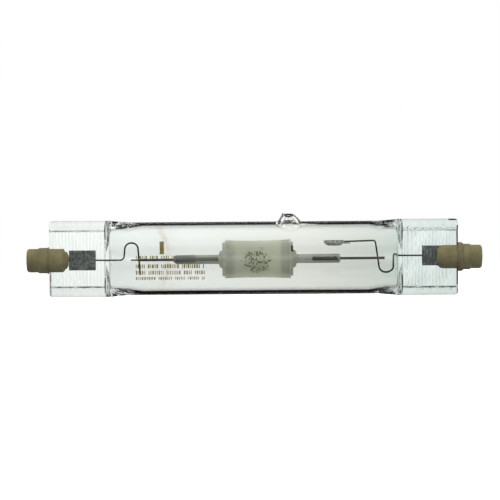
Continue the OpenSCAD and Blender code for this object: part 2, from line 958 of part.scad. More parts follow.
module electrode_shank(side) {
    color([0.45, 0.45, 0.47])
        in_arc_frame()
            on_side(side)
                along_x(shank_tip)
                    cylinder(h = mandrel_in - weld_gap - shank_tip, d = shank_d);
}

module electrode_coil(side) {
    color([0.5, 0.5, 0.52])
        in_arc_frame()
            on_side(side)
                along_x(shank_tip + tip_bare)
                    wire_coil(shank_d / 2, coil_wire_d / 2, coil_pitch, coil_turns, coil_steps, coil_sides);
}

module getter_dish() {
    r = getter_d / 2;
    inner = r - getter_sheet;
    bottom = rim_z - getter_depth;
    knee = getter_knee_z;
    floor_r = r * dish_floor;
    break_z = bottom + (knee - bottom) * dish_break;
    tab_top = arm_z - lead_r - weld_gap;
    color([0.3, 0.3, 0.3])
        lift() {
            difference() {
                translate([getter_x, 0, 0])
                    rotate_extrude()
                        polygon([
                            [0, bottom],
                            [floor_r, bottom],
                            [(floor_r + r) / 2, break_z],
                            [r * dish_draw, knee],
                            [r, rim_z],
                            [inner, rim_z],
                            [inner * dish_draw, knee],
                            [(floor_r + inner) / 2, break_z + getter_sheet],
                            [floor_r, bottom + getter_sheet],
                            [0, bottom + getter_sheet]
                        ]);
                for (i = [0:getter_holes - 1])
                    translate([getter_x, 0, (rim_z + knee) / 2])
                        rotate([0, 90, 360 * (i + 0.5) / getter_holes])
                            translate([0, 0, inner * 0.8])
                                cylinder(h = r * 0.3, d = getter_hole_d);
            }
            translate([getter_x + inner, -tab_w / 2, tab_top - tab_t])
                cube([tab_len + getter_sheet, tab_w, tab_t]);
        }
}

module getter_fill() {
    r = getter_d / 2 - getter_sheet;
    bottom = rim_z - getter_depth + getter_sheet + weld_gap;
    knee = getter_knee_z;
    floor_r = getter_d / 2 * dish_floor - weld_gap;
    side_r = (floor_r + r) / 2 - 2 * weld_gap;
    color([0.22, 0.22, 0.22])
        lift()
            translate([getter_x, 0, 0])
                rotate_extrude()
                    polygon([
                        [0, bottom],
                        [floor_r, bottom],
                        [side_r, bottom + (knee - bottom) * fill_slope],
                        [side_r, knee],
                        [0, knee]
                    ]);
}

// Condensed salts: a thin blotted film on the lower front wall of the barrel
module halide_film() {
    outer = barrel_bore_d / 2 - weld_gap;
    color([0.55, 0.52, 0.3])
        in_arc_frame()
            intersection() {
                along_x(-barrel_end / 2)
                    difference() {
                        cylinder(h = barrel_end, r = outer);
                        translate([0, 0, -bite])
                            cylinder(h = barrel_end + 2 * bite, r = outer - film_t);
                    }
                for (b = film_blots)
                    translate([b[0], 0, b[1]])
                        rotate([90, 0, 0])
                            cylinder(h = outer, r = b[2], $fn = 24);
            }
}

module mercury_drop() {
    color([0.7, 0.7, 0.72])
        in_arc_frame()
            translate([drop_place, 0, drop_d / 2 + weld_gap - barrel_bore_d / 2])
                sphere(d = drop_d);
}

module left_niobium_rod() {
    niobium_rod(-1, left_rod_reach, left_rod_tail, rod_tail_d);
}

module right_niobium_rod() {
    niobium_rod(1, right_rod_reach, right_rod_past, rod_d);
}

module left_ceramic_cap() {
    ceramic_cap(-1, left_cap_len, left_cap_z, left_nose_d, 1, left_seal_x);
}

module right_ceramic_cap() {
    ceramic_cap(1, right_cap_len, right_cap_z, right_nose_d, 2, right_seal_x);
}

module left_cap_cement() {
    cap_cement(-1, left_cap_len, left_cap_z, left_nose_d, 1, left_seal_x, left_bead_d, left_bead_len);
}

module right_cap_cement() {
    cap_cement(
        1, right_cap_len, right_cap_z, right_nose_d, 2, right_seal_x, right_bead_d, right_bead_len
    );
}

quartz_envelope();
left_ceramic_cap();
right_ceramic_cap();
left_cap_cement();
right_cap_cement();
contact_button(-1, left_cap_z);  // left_contact_button
contact_button(1, right_cap_z);  // right_contact_button
outer_lead(-1, left_foil_x, left_cap_z);  // left_outer_lead
outer_lead(1, right_foil_x, right_cap_z);  // right_outer_lead
foil(-1, left_foil_x, left_cap_z);  // left_foil
foil(1, right_foil_x, right_foil_z);  // right_foil
left_inner_lead();
right_inner_lead();
arc_tube_barrel();
plug_and_leg(-1);  // left_plug_and_leg
plug_and_leg(1);  // right_plug_and_leg
left_niobium_rod();
right_niobium_rod();
frit_seal(-1, left_frit_cone);  // left_frit_seal
frit_seal(1, right_frit_cone);  // right_frit_seal
mandrel(-1);  // left_mandrel
mandrel(1);  // right_mandrel
overwind(-1);  // left_overwind
overwind(1);  // right_overwind
electrode_shank(-1);  // left_electrode_shank
electrode_shank(1);  // right_electrode_shank
electrode_coil(-1);  // left_electrode_coil
electrode_coil(1);  // right_electrode_coil
getter_dish();
getter_fill();
halide_film();
mercury_drop();
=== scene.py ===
"""Double-ended metal halide lamp, as photographed: clear quartz against white, face on.

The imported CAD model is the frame. The quartz envelope is made again here as a smooth glass skin,
and every other piece keeps its CAD shape and gets its finish here. Lengths are in millimetres
where a name ends in _MM, and in metres in the meshes.
"""

import math
import random

import bmesh
import bpy
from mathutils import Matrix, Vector

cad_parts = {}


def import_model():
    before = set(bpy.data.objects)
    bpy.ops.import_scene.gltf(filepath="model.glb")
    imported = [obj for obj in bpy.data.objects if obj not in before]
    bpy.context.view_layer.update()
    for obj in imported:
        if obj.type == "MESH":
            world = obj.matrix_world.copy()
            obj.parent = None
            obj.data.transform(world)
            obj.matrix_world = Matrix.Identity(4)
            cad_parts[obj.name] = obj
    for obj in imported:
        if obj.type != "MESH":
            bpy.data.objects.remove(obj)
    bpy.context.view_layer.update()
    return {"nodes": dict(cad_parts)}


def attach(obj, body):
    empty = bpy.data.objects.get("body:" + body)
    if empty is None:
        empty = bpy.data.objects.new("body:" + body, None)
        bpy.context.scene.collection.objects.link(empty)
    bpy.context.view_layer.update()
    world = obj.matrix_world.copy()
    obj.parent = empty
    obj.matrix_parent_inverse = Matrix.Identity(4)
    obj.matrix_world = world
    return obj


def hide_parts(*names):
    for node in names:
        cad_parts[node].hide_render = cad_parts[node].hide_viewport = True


MM = 0.001
WHITE = "#ffffff"

# The lamp's own measures, by end where the two differ (-1 left, 1 right)
AXIS_Z_MM = 11.5
TUBE_R_MM = 11.0
CAVITY_R_MM = 9.75
BLANK_R_MM = 11.79
SHOULDER_MM = 7.0
# How late and how steeply the glass drops at a shoulder, outside and inside
OUTER_POWER = {-1: 44, 1: 60}
INNER_POWER = {-1: 60, 1: 44}
PINCH_MM = 17.0
PINCH_HALF_W_MM = 11.5
PINCH_HALF_T_MM = 1.5
PINCH_ROUND_MM = 1.1
# Width of the rail and run of its flank, by end (-1 left) and by edge (-1 lower)
RAIL_W_MM = {(-1, 1): 3.1, (-1, -1): 3.0, (1, 1): 3.0, (1, -1): 2.5}
FLANK_MM = {(-1, 1): 0.65, (-1, -1): 0.65, (1, 1): 1.2, (1, -1): 0.6}
# Where the flanks lie round a section, in degrees from its top or bottom
RAIL_ANGLES = (37.0, 46.5)
# Half thickness of a rail, its rounded edge, and how it grows out of the shoulder
RAIL_HALF_T_MM = 2.6
RAIL_ROUND_MM = 0.8
RAIL_RUN_MM = 2.5
RAIL_LEAD_MM = 1.0
# Ribs that the jaws pressed into the flat
RIB_PITCH_MM = 1.05
RIB_H_MM = 0.16
RIB_MARGIN_MM = 0.9
RIB_COUNT = 14
RIB_SHARE = {-1: 0.5, 1: 0.82}
# Nicks along the inner edge of a rail
NICK_PITCH_MM = 2.1
NICK_SHARPNESS = 3
NICK_BIAS = 0.6
NICK_MM = {-1: 0.35, 1: 0.6}
# How far over the radius of the tube or of the cavity a shoulder begins to drop
BITE_MM = 0.2
# Where the cavity stops short of a seal, the thin line that it runs out in, and its round corners
CAVITY_STOP_MM = {-1: 1.5, 1: 1.5}
CAVITY_LINE_MM = 0.08
CAVITY_ROUND_MM = 2.0
# The seals, from the middle of the lamp, and the rounded edge of its ends
SEAL_MM = {-1: 44.8, 1: 44.3}
END_EDGE_MM = 0.45
# How far the back of a shoulder lies further out than its front, per mm of thickness
OUTER_ASKEW = 0.03
INNER_ASKEW = 0.042
# Rounding at the sides and at the top and bottom of a section
OUTER_SOFT_MM = (0.5, 0.3)
INNER_SOFT_MM = (0.5, 1.5)

# The tip-off: place, lean and outline as (distance from its axis, height over the tube)
TIP_X_MM = 10.6
TIP_LEAN = 15.0
TIP_SLANT = 9.0
TIP_OUTLINE = [(0.0, 2.5), (1.5, 2.5), (1.85, 2.28), (2.68, 1.5), (2.96, 0.95), (3.55, 0.25), (4.1, 0.0)]
NIPPLE_X_MM = -1.6
NIPPLE_OUTLINE = [(0.0, 0.5), (0.22, 0.48), (0.5, 0.12), (0.65, 0.0)]
BUBBLE_OUTLINE = [(0.0, 2.95), (1.1, 2.9), (1.5, 2.5), (1.95, 1.85), (2.4, 0.9), (2.75, 0.25), (3.2, 0.0)]

# The mesh of the glass: sides of a section, and rings in a shoulder
OUTER_SIDES = 132
INNER_SIDES = 132
OUTER_RINGS = 36
INNER_RINGS = 38
# Finer parts round the tip-off as (reach, step): in degrees round the lamp, and in mm along it
OUTER_TIP = (22, 1.1)
INNER_TIP = (17, 1.0)
OUTER_TIP_MM = (5.5, 0.24)
INNER_TIP_MM = (3.2, 0.2)
# Steps on the rails (in degrees round the lamp), along the tube, over the ribs and at the rounded ends
RAIL_STEP = 0.6
LEFT_TUBE_STEP_MM = 4
RIGHT_TUBE_STEP_MM = 3
RIB_STEP_MM = 0.155
END_STRETCH_MM = 1.2
END_STEP_MM = 0.15
END_ROUND_MM = 0.3
END_TURNS = (15, 35, 55, 72, 90)
# How far from the tip-off the glass is drawn up, and the angle from which an edge stays sharp
TIP_REACH_MM = 7
SHARP_EDGE = 38
# Unevenness of the ribs sideways and in height, as (amount, seed, change per mm up)
RIB_SWAY = (0.12, 3.1, 0.5)
RIB_VARY = (0.55, 5.3, 0.8)
# Share of the pitch that a rib fills
RIB_FILL = 0.8
# Swings of the uneven glass, as weights of the seed, of x and of the height
SWINGS = ((1.0, 1.7, 0.4), (2.3, -0.6, 0.9), (0.7, 0.35, 2.6))

# Quartz: its tint along the lamp, its own green in the right pinch with painted shade darkening it towards
# the right, painted shade greying its lower side, and the tone that plain light takes in it
QUARTZ_TINT_AND_SHADE = [
    (0.0, "#f3f8f5"), (0.12, "#f5faf7"), (0.16, "#f8fcfa"), (0.3, "#fbfefc"), (0.62, "#f6f8f4"),
    (0.82, "#ecf0ec"), (0.87, "#e5f0ec"), (1.0, "#e1ece8"),
]
TINT_REACH_MM = 60
LOW_SHADE_TINT = "#f3f3f2"
LOW_SHADE_MM = (2, 20)
QUARTZ_IOR = 1.46
CLEAR_TONE = "#f4f6f4"
# Waves everywhere, folds at the tube's corners and streaks in the pinches, as (size in mm, depth in mm,
# pattern's stretch along each axis), and where they fade in
WAVES = (7, 0.05, (0.25, 1, 1))
FOLDS = (1.8, 0.15, (0.6, 1, 1))
STREAKS = (0.8, 0.035, (1, 0.25, 0.12))
PRESSED_FROM_MM = (43.5, 46)
FOLDED_FROM_MM = (35, 39)
FOLDED_OFF_AXIS_MM = (8.6, 9.8)
# Painted shade in the quartz: thin dark lines standing in for the dark edges that refraction shows at a
# shoulder, along the rails and at the ends: from x, to x, from height, to height over the axis, level, dashed
DARK_LINE_TONE = "#040504"
LINE_SOFT_MM = 0.08
# Breaks in the dashed ones: size, stretch, where they fade, and what they leave of the line
DASH_MM = 1.2
DASH_STRETCH = (0.5, 1, 0.5)
DASH_RANGE = (0.38, 0.5)
DASH_GAP_LEVEL = 0.3
PAINTED_DARK_LINES = [
    (42.98, 43.2, -8.8, 9.0, 0.5, True),
    (-61.7, -45.0, 8.25, 8.6, 0.85, True),
    (-61.7, -45.0, -8.68, -8.26, 1.0, True),
    (44.6, 61.2, -9.26, -8.82, 1.0, True),
    (60.85, 61.4, -8.5, 9.5, 1.0, False),
    (60.92, 61.4, -11.6, -9.2, 0.9, False),
    (-61.9, -61.3, -11.3, -2.0, 0.9, True),
    (58.4, 61.2, 10.95, 11.6, 1.0, False),
]
# The tan band mixed into the tint on the back of the tube: its place, its bow (per metre) and its width
TAN_BAND_TONE = "#e2dccd"
TAN_BAND_X_MM = -26.2
TAN_BAND_BOW = 26.0
TAN_BAND_CORE_MM = 2.0
TAN_BAND_VEIL_MM = 7.0
TAN_BAND_VEIL_SHARE = 0.25
TAN_BAND_PATCH_MM = 3.0
TAN_BAND_PATCH_RANGE = (0.35, 0.6)
TAN_BAND_PATCH_LEVEL = 0.3

# Alumina: how much whiter it is when lit from behind, and the stains where the core shows through
# a leg as (from, to, height over the axis, half height, tone, share)
MILK_SHARE = 0.75
STAIN_EDGE_MM = 0.12
PLUG_STAINS = {
    "left": [
        (-24.6, -17.8, 0.0, 1.4, "#747b78", 0.75),
        (-24.0, -10.9, -0.3, 0.58, "#4c4e44", 0.85),
    ],
    "right": [
        (17.4, 25.2, -0.3, 0.6, "#0c100b", 1.0),
        (11.0, 12.1, 2.8, 0.9, "#1c221c", 0.95),
    ],
}
STAIN_RAGGED_MM = 0.7
# The paler middle of the barrel, painted light for the backlight that comes through its wall: where it fades
# in and out, and how pale it is at either end
BACKLIT_MIDDLE_TONE = "#fbfbf4"
BACKLIT_LEFT_MM = (-7.0, -5.5)
BACKLIT_RIGHT_MM = (7.8, 8.1)
BACKLIT_SHARES = (0.5, 0.9)
# The field of salt specks in it: its middle and reach, its ragged edge, and the specks
SALT_X_MM = 0.6
SALT_Z_MM = 10.8
SALT_REACH_X_MM = 4.5
SALT_REACH_Z_MM = 3.6
SALT_GRAIN_MM = 0.56
SALT_RAGGED = 0.28
SALT_RAGGED_MM = 1.4
SALT_FADE_FROM = 0.8
SALT_TONES = [(0.0, "#0c0d08"), (0.3, "#1c1e12"), (0.42, "#70753f"), (0.58, "#d3d9a2"), (0.8, "#f9fbe4")]
# Edge of a crystal in its cell, and the middle range of a noise pattern
CRYSTAL_EDGE = (0.42, 0.56)
GRAIN_RANGE = (0.3, 0.7)

# Metals: dark and light tone, roughness, how metallic, size and depth of the mottle in mm
METALS = {
    # a dull silver glint at the bottom of the cap's recess
    "nickelled contact": ("#9a958a", "#c4bfb4", 0.35, 1.0, 0.8, 0.01),
    # near black against the white, with hardly a glint: painted shade for a wire seen against the light
    "drawn molybdenum wire": ("#131212", "#2b2928", 0.45, 0.3, 0.5, 0.01),
    # blacker and duller than the wire: painted shade for a rod seen against the light
    "niobium rod": ("#070706", "#141312", 0.5, 0.2, 0.6, 0.01),
    # dark grey, seen only as a shade in the arc tube
    "tungsten": ("#3a3a3a", "#565656", 0.4, 0.9, 0.5, 0.01),
    # light and dark patches: painted highlight and shade for the crumpled metal's glints, over its own mottle
    "nickelled getter dish": ("#4c4a46", "#dedbd4", 0.35, 0.6, 0.4, 0.08),
    # dark and chalky
    "pressed getter powder": ("#34322f", "#55524d", 0.9, 0.1, 0.25, 0.04),
    # a bright bead
    "mercury": ("#c8c8c8", "#dcdcdc", 0.08, 1.0, 0.6, 0.0),
}
METAL_ROUGH_SWING = 0.08
WIRE_STRETCH = (0.3, 1, 1)


def linear(colour):
    """A written sRGB colour as the linear values that a shader takes."""
    parts = [int(colour[i : i + 2], 16) / 255 for i in (1, 3, 5)]
    lin = [p / 12.92 if p <= 0.04045 else ((p + 0.055) / 1.055) ** 2.4 for p in parts]
    return (*lin, 1.0)


def ease(t):
    """A slow start, a steady middle and a slow end."""
    return (1 - math.cos(math.pi * min(1, max(0, t)))) / 2


def shoulder(t, power):
    """Share of the height that a shoulder still has at a share of its length: steep only at the pinch."""
    return math.sqrt(max(0.0, 1 - min(1, max(0, t)) ** power))


def along(outline, x):
    """Height of an outline of (place, height) points at x, with soft corners."""
    for (x0, h0), (x1, h1) in zip(outline, outline[1:]):
        if x <= x1:
            return h0 + (h1 - h0) * ease((x - x0) / (x1 - x0))
    return outline[-1][1]


def into_shoulder(x):
    """0 on the tube and 1 where a shoulder is at its steepest."""
    side = 1 if x > 0 else -1
    return ease((abs(x) - SEAL_MM[side] + SHOULDER_MM) / SHOULDER_MM)


def soft_least(a, b, blend):
    """The lesser of two lengths, rounded over where they cross."""
    near = max(0.0, blend - abs(a - b)) / max(blend, MM)
    return min(a, b) - near * near * blend / 4


# The glass skin


def wander(seed, x, h):
    """A slow, uneven swing between -1 and 1, for glass that was pressed by hand-worn jaws."""
    return sum(math.sin(a * seed + b * x + c * h) for a, b, c in SWINGS) / len(SWINGS)


def rib_height(side, out, h):
    """Height of the pressed ribs at a distance past the seal, uneven from rib to rib."""
    amount, seed, change = RIB_SWAY
    at = (out - RIB_MARGIN_MM) / RIB_PITCH_MM + amount * wander(seed * side, 0, change * h)
    if at < 0 or at >= RIB_COUNT:
        return 0.0
    phase = at % 1
    rib = math.floor(at)
    amount, seed, change = RIB_VARY
    share = RIB_SHARE[side] * (1 + amount * wander(seed * rib + side, 0, change * h))
    return RIB_H_MM * share * math.sin(math.pi * min(1, phase / RIB_FILL)) ** 2


def rail_step(h, inner, width):
    """0 on the flat and 1 on the rail, with a steep flank between them."""
    return ease((abs(h) - inner + width / 2) / width)


def outer_half(x, h):
    """Half the thickness of the outside of the glass at x and at a height over the axis."""
    side = 1 if x > 0 else -1
    seal, a = SEAL_MM[side], abs(x)
    start = seal - SHOULDER_MM
    if a <= start:
        return 2 * TUBE_R_MM
    web = TUBE_R_MM + BITE_MM
    t = (a - start) / SHOULDER_MM
    half = PINCH_HALF_T_MM + (web - PINCH_HALF_T_MM) * shoulder(t, OUTER_POWER[side])
    if a > seal:
        half += rib_height(side, a - seal, h)
    rail = RAIL_HALF_T_MM
    edge = PINCH_HALF_W_MM - RAIL_ROUND_MM
    if abs(h) > edge:
        over = min(RAIL_ROUND_MM, abs(h) - edge)
        rail += math.sqrt(RAIL_ROUND_MM**2 - over**2) - RAIL_ROUND_MM
    corner = (side, 1 if h > 0 else -1)
    inner = PINCH_HALF_W_MM - RAIL_W_MM[corner]
    if a > seal:
        nick = max(0, math.cos(math.tau * (a - seal) / NICK_PITCH_MM)) ** NICK_SHARPNESS
        inner += NICK_MM[side] * nick * (NICK_BIAS + wander(side, a, h))
    step = rail_step(h, inner, FLANK_MM[corner])
    grown = ease((a - seal + RAIL_RUN_MM + RAIL_LEAD_MM) / RAIL_RUN_MM)
    if rail > half:
        half += (rail - half) * step * grown
    to_end = seal + PINCH_MM - a
    if to_end < END_EDGE_MM:
        half += math.sqrt(max(0, END_EDGE_MM**2 - (END_EDGE_MM - to_end) ** 2)) - END_EDGE_MM
    return half


def outer_reach(x):
    """Half the width of the pinch at x, less at its round corners."""
    a = abs(x)
    end = SEAL_MM[1 if x > 0 else -1] + PINCH_MM
    over = max(0.0, a - end + PINCH_ROUND_MM)
    return PINCH_HALF_W_MM - PINCH_ROUND_MM + math.sqrt(max(0, PINCH_ROUND_MM**2 - over**2))


def outer_radius(x):
    """The tube widens a little towards a pinch, where the glass is pushed out."""
    side = 1 if x > 0 else -1
    t = (abs(x) - SEAL_MM[side] + SHOULDER_MM) / SHOULDER_MM
    return TUBE_R_MM + (BLANK_R_MM - TUBE_R_MM) * ease(t)


def inner_half(x, h):
    """Half the thickness of the cavity at x, down to a thin line where it runs out."""
    side = 1 if x > 0 else -1
    a = abs(x)
    end = SEAL_MM[side] - CAVITY_STOP_MM[side]
    start = SEAL_MM[side] - SHOULDER_MM
    if a <= start:
        return 2 * CAVITY_R_MM
    web = CAVITY_R_MM + BITE_MM
    return CAVITY_LINE_MM + (web - CAVITY_LINE_MM) * shoulder((a - start) / (end - start), INNER_POWER[side])


def inner_reach(x):
    """Half the height of the cavity at x, less at its round corners."""
    side = 1 if x > 0 else -1
    a = abs(x)
    end = SEAL_MM[side] - CAVITY_STOP_MM[side]
    over = max(0.0, a - end + CAVITY_ROUND_MM)
    return CAVITY_R_MM - CAVITY_ROUND_MM + math.sqrt(max(0, CAVITY_ROUND_MM**2 - over**2))


def inner_radius(x):
    """The wall keeps its thickness where the tube widens towards a pinch."""
    return outer_radius(x) - TUBE_R_MM + CAVITY_R_MM


def ring(x, angles, radius, reach, half, soft):
    """One section of a skin as (across, up) points, from the top round by the back."""
    r, top = radius(x), reach(x)
    side_soft, top_soft = soft[0] * into_shoulder(x), soft[1] * into_shoulder(x)
    points = []
    for angle in angles:
        up, across = r * math.cos(angle), r * math.sin(angle)
        h = math.copysign(soft_least(abs(up), top, top_soft), up)
        if abs(up) > top:
            corner = math.sqrt(r * r - top * top)
            y = min(corner, half(x, h)) * abs(across) / corner
        else:
            y = soft_least(abs(across), half(x, h), side_soft)
        points.append((math.copysign(max(y, 0.0), across), h))
    return points


TIP_AXIS = Vector(
    (
        -math.sin(math.radians(TIP_SLANT)),
        -math.sin(math.radians(TIP_LEAN)) * math.cos(math.radians(TIP_SLANT)),
        math.cos(math.radians(TIP_LEAN)) * math.cos(math.radians(TIP_SLANT)),
    )
)
TIP_FOOT = Vector(
    (
        TIP_X_MM,
        -TUBE_R_MM * math.sin(math.radians(TIP_LEAN)),
        TUBE_R_MM * math.cos(math.radians(TIP_LEAN)),
    )
)


def from_tip(point):
    """The way from the axis of the tip to a point, square to the axis."""
    gap = point - TIP_FOOT
    return gap - TIP_AXIS * gap.dot(TIP_AXIS)


def tip_outside(point):
    """Draws the skin out to the tip, with the nipple on its top."""
    off = from_tip(point)
    height = along(TIP_OUTLINE, off.length)
    nipple = (off - Vector((NIPPLE_X_MM, 0, 0))).length
    height += along(NIPPLE_OUTLINE, nipple)
    return point + TIP_AXIS * height


def tip_bubble(point):
    """Draws the cavity up into the tip."""
    return point + TIP_AXIS * along(BUBBLE_OUTLINE, from_tip(point).length)


def steep(share, power):
    """Places along a shoulder, closer together where it drops."""
    return math.sin(math.pi / 2 * share) ** (2 / power)


def spread(low, high, step):
    """Places from low up to high, about a step apart, without high itself."""
    count = max(1, round((high - low) / step))
    return [low + (high - low) * i / count for i in range(count)]


def skin(name, places, angles, form, lift, askew):
    """A closed skin of rings along the lamp.

    It is computed point by point, because no operator makes a tube that runs into a ribbed pinch
    without a seam, and a seam would show in the glass.
    """
    verts, faces = [], []
    for x in places:
        for y, h in ring(x, angles, *form):
            point = Vector((x + math.copysign(askew * y * into_shoulder(x), x), y, h))
            if h > 0 and abs(x - TIP_X_MM) < TIP_REACH_MM:
                point = lift(point)
            verts.append((point.x * MM, point.y * MM, (point.z + AXIS_Z_MM) * MM))
    n = len(angles)
    for i in range(len(places) - 1):
        for j in range(n):
            k = (j + 1) % n
            faces.append((i * n + j, i * n + k, (i + 1) * n + k, (i + 1) * n + j))
    last = (len(places) - 1) * n
    faces.append(tuple(range(n - 1, -1, -1)))
    faces.append(tuple(last + j for j in range(n)))
    mesh = bpy.data.meshes.new(name)
    mesh.from_pydata(verts, [], faces)
    mesh.validate()
    return mesh


def section_angles(steps, fine):
    """Angles round a section, closer together in the fine stretches (low, high, step), in degrees."""
    marks = [i * 360 / steps - 180 for i in range(steps)]
    marks = [a for a in marks if not any(low <= a <= high for low, high, step in fine)]
    for low, high, step in fine:
        marks += spread(low, high + step, step)
    marks = sorted(set(round(a, 4) for a in marks))
    return [math.radians(a) for a in marks]


def tube_places(tip_mm):
    """Places of the rings along the tube, close together at the tip."""
    reach, step = tip_mm
    left, right = TIP_X_MM - reach, TIP_X_MM + reach
    places = spread(-SEAL_MM[-1] + SHOULDER_MM, left, LEFT_TUBE_STEP_MM) + spread(left, right, step)
    return places + spread(right, SEAL_MM[1] - SHOULDER_MM, RIGHT_TUBE_STEP_MM)


def outer_places():
    """Places of the outer skin's rings, from one end of the lamp to the other."""
    places = tube_places(OUTER_TIP_MM)
    for side in (-1, 1):
        seal = SEAL_MM[side]
        end = seal + PINCH_MM
        drops = [steep(i / OUTER_RINGS, OUTER_POWER[side]) for i in range(OUTER_RINGS)]
        marks = [seal - SHOULDER_MM * (1 - drop) for drop in drops]
        marks += spread(seal, end - END_STRETCH_MM, RIB_STEP_MM)
        marks += spread(end - END_STRETCH_MM, end - END_ROUND_MM, END_STEP_MM)
        marks += [end - END_ROUND_MM * (1 - math.sin(math.radians(turn))) for turn in END_TURNS]
        places += [side * mark for mark in marks]
    return sorted(set(round(x, 5) for x in places))


def inner_places():
    """Places of the cavity's rings."""
    places = tube_places(INNER_TIP_MM)
    for side in (-1, 1):
        start, end = SEAL_MM[side] - SHOULDER_MM, SEAL_MM[side] - CAVITY_STOP_MM[side]
        for i in range(INNER_RINGS + 1):
            places.append(side * (start + (end - start) * steep(i / INNER_RINGS, INNER_POWER[side])))
    return sorted(set(round(x, 5) for x in places))


def blown_glass():
    """The envelope: outer skin with pinches and tip, and the cavity skin turned inside out."""
    near, far = RAIL_ANGLES
    fine = [
        (-far, -near, RAIL_STEP),
        (near, far, RAIL_STEP),
        (near - 180, far - 180, RAIL_STEP),
        (180 - far, 180 - near, RAIL_STEP),
        (-TIP_LEAN - OUTER_TIP[0], -TIP_LEAN + OUTER_TIP[0], OUTER_TIP[1]),
    ]
    angles = section_angles(OUTER_SIDES, fine)
    form = (outer_radius, outer_reach, outer_half, OUTER_SOFT_MM)
    outer = skin("outer", outer_places(), angles, form, tip_outside, OUTER_ASKEW)
    fine = [(-TIP_LEAN - INNER_TIP[0], -TIP_LEAN + INNER_TIP[0], INNER_TIP[1])]
    angles = section_angles(INNER_SIDES, fine)
    form = (inner_radius, inner_reach, inner_half, INNER_SOFT_MM)
    inner = skin("inner", inner_places(), angles, form, tip_bubble, INNER_ASKEW)
    whole = turned_out(outer, inner)
    glass = bpy.data.objects.new("clear_quartz", whole)
    bpy.context.scene.collection.objects.link(glass)
    bpy.ops.object.select_all(action="DESELECT")
    glass.select_set(True)
    bpy.context.view_layer.objects.active = glass
    bpy.ops.object.shade_smooth_by_angle(angle=math.radians(SHARP_EDGE))
    return glass


def turned_out(outer, inner):
    """One mesh of both skins, whose faces all look away from the glass."""
    shell = bmesh.new()
    shell.from_mesh(outer)
    bmesh.ops.recalc_face_normals(shell, faces=shell.faces)
    shell.to_mesh(outer)
    shell.free()
    shell = bmesh.new()
    shell.from_mesh(inner)
    bmesh.ops.recalc_face_normals(shell, faces=shell.faces)
    bmesh.ops.reverse_faces(shell, faces=shell.faces)
    shell.from_mesh(outer)
    whole = bpy.data.meshes.new("clear_quartz")
    shell.to_mesh(whole)
    shell.free()
    return whole


# Finishes


def start_finish(name):
    """An empty material with its output, ready for nodes."""
    finish = bpy.data.materials.new(name)
    finish.use_nodes = True
    tree = finish.node_tree
    tree.nodes.clear()
    out = tree.nodes.new("ShaderNodeOutputMaterial")
    return finish, tree, out


def add(tree, kind, inputs=None, **settings):
    """Adds a node, sets it and fills its sockets with values or with links."""
    made = tree.nodes.new(kind)
    for key, value in settings.items():
        setattr(made, key, value)
    for key, value in (inputs or {}).items():
        if isinstance(value, bpy.types.NodeSocket):
            tree.links.new(value, made.inputs[key])
        else:
            made.inputs[key].default_value = value
    return made


def place(tree, stretch=(1, 1, 1)):
    """The place on the piece, pulled out along the axes."""
    spot = add(tree, "ShaderNodeTexCoord").outputs["Object"]
    return add(tree, "ShaderNodeMapping", {"Vector": spot, "Scale": stretch}).outputs["Vector"]


def grain(tree, spot, size_mm, detail=3.0, roughness=0.55):
    """A noise pattern whose blotches are about so many millimetres."""
    made = add(
        tree,
        "ShaderNodeTexNoise",
        {"Vector": spot, "Scale": 1 / (size_mm * MM), "Detail": detail, "Roughness": roughness},
    )
    return made.outputs["Fac"]


def tones(tree, factor, stops):
    """A colour ramp of (place, written colour) stops."""
    ramp = add(tree, "ShaderNodeValToRGB", {"Fac": factor})
    elements = ramp.color_ramp.elements
    while len(elements) < len(stops):
        elements.new(0.5)
    for element, (at, colour) in zip(elements, stops):
        element.position = at
        element.color = linear(colour)
    return ramp.outputs["Color"]


def between(tree, factor, low, high, out_low=0.0, out_high=1.0):
    """A factor stretched so that low to high becomes out_low to out_high."""
    made = add(
        tree,
        "ShaderNodeMapRange",
        {"Value": factor, "From Min": low, "From Max": high, "To Min": out_low, "To Max": out_high},
    )
    return made.outputs["Result"]


def relief(tree, height, depth_mm, under=None):
    """A bump so many millimetres deep."""
    inputs = {"Height": height, "Distance": depth_mm * MM, "Strength": 1.0}
    if under is not None:
        inputs["Normal"] = under
    return add(tree, "ShaderNodeBump", inputs).outputs["Normal"]


def mixed(tree, factor, first, second):
    """Two shaders mixed by a factor."""
    made = add(tree, "ShaderNodeMixShader", {0: factor, 1: first, 2: second})
    return made.outputs["Shader"]


def pair(tree, factor, first, second):
    """Two colours mixed by a factor."""
    made = add(tree, "ShaderNodeMix", data_type="RGBA")
    for socket, value in ((0, factor), (6, first), (7, second)):
        if isinstance(value, bpy.types.NodeSocket):
            tree.links.new(value, made.inputs[socket])
        else:
            made.inputs[socket].default_value = value
    return made.outputs[2]


def sums(tree, operation, *values):
    """A sum of values or links, by the name of the operation."""
    made = add(tree, "ShaderNodeMath", dict(enumerate(values)), operation=operation)
    return made.outputs[0]


def metres(marks_mm):
    """Written millimetres as the metres that a shader counts in."""
    return [mark * MM for mark in marks_mm]


def window(tree, value, low_mm, high_mm, soft_mm, level=1.0):
    """A level between two places and 0 outside them, with soft edges."""
    over = between(tree, value, (low_mm - soft_mm) * MM, (low_mm + soft_mm) * MM)
    under = between(tree, value, (high_mm - soft_mm) * MM, (high_mm + soft_mm) * MM, level, 0.0)
    return sums(tree, "MULTIPLY", over, under)


def swing(tree, size_mm, amount):
    """An uneven swing to both sides of 0, for ragged edges."""
    return between(tree, grain(tree, place(tree), size_mm), *GRAIN_RANGE, -amount, amount)


def share_off(tree, value, middle_mm, reach_mm):
    """The way from a middle, as a share of a reach."""
    return sums(tree, "DIVIDE", sums(tree, "SUBTRACT", value, middle_mm * MM), reach_mm * MM)


def shown_by_light(tree):
    """1 where a ray carries plain light and not a picture: the glass lets it straight through."""
    path = add(tree, "ShaderNodeLightPath")
    return sums(tree, "MAXIMUM", path.outputs["Is Shadow Ray"], path.outputs["Is Diffuse Ray"])


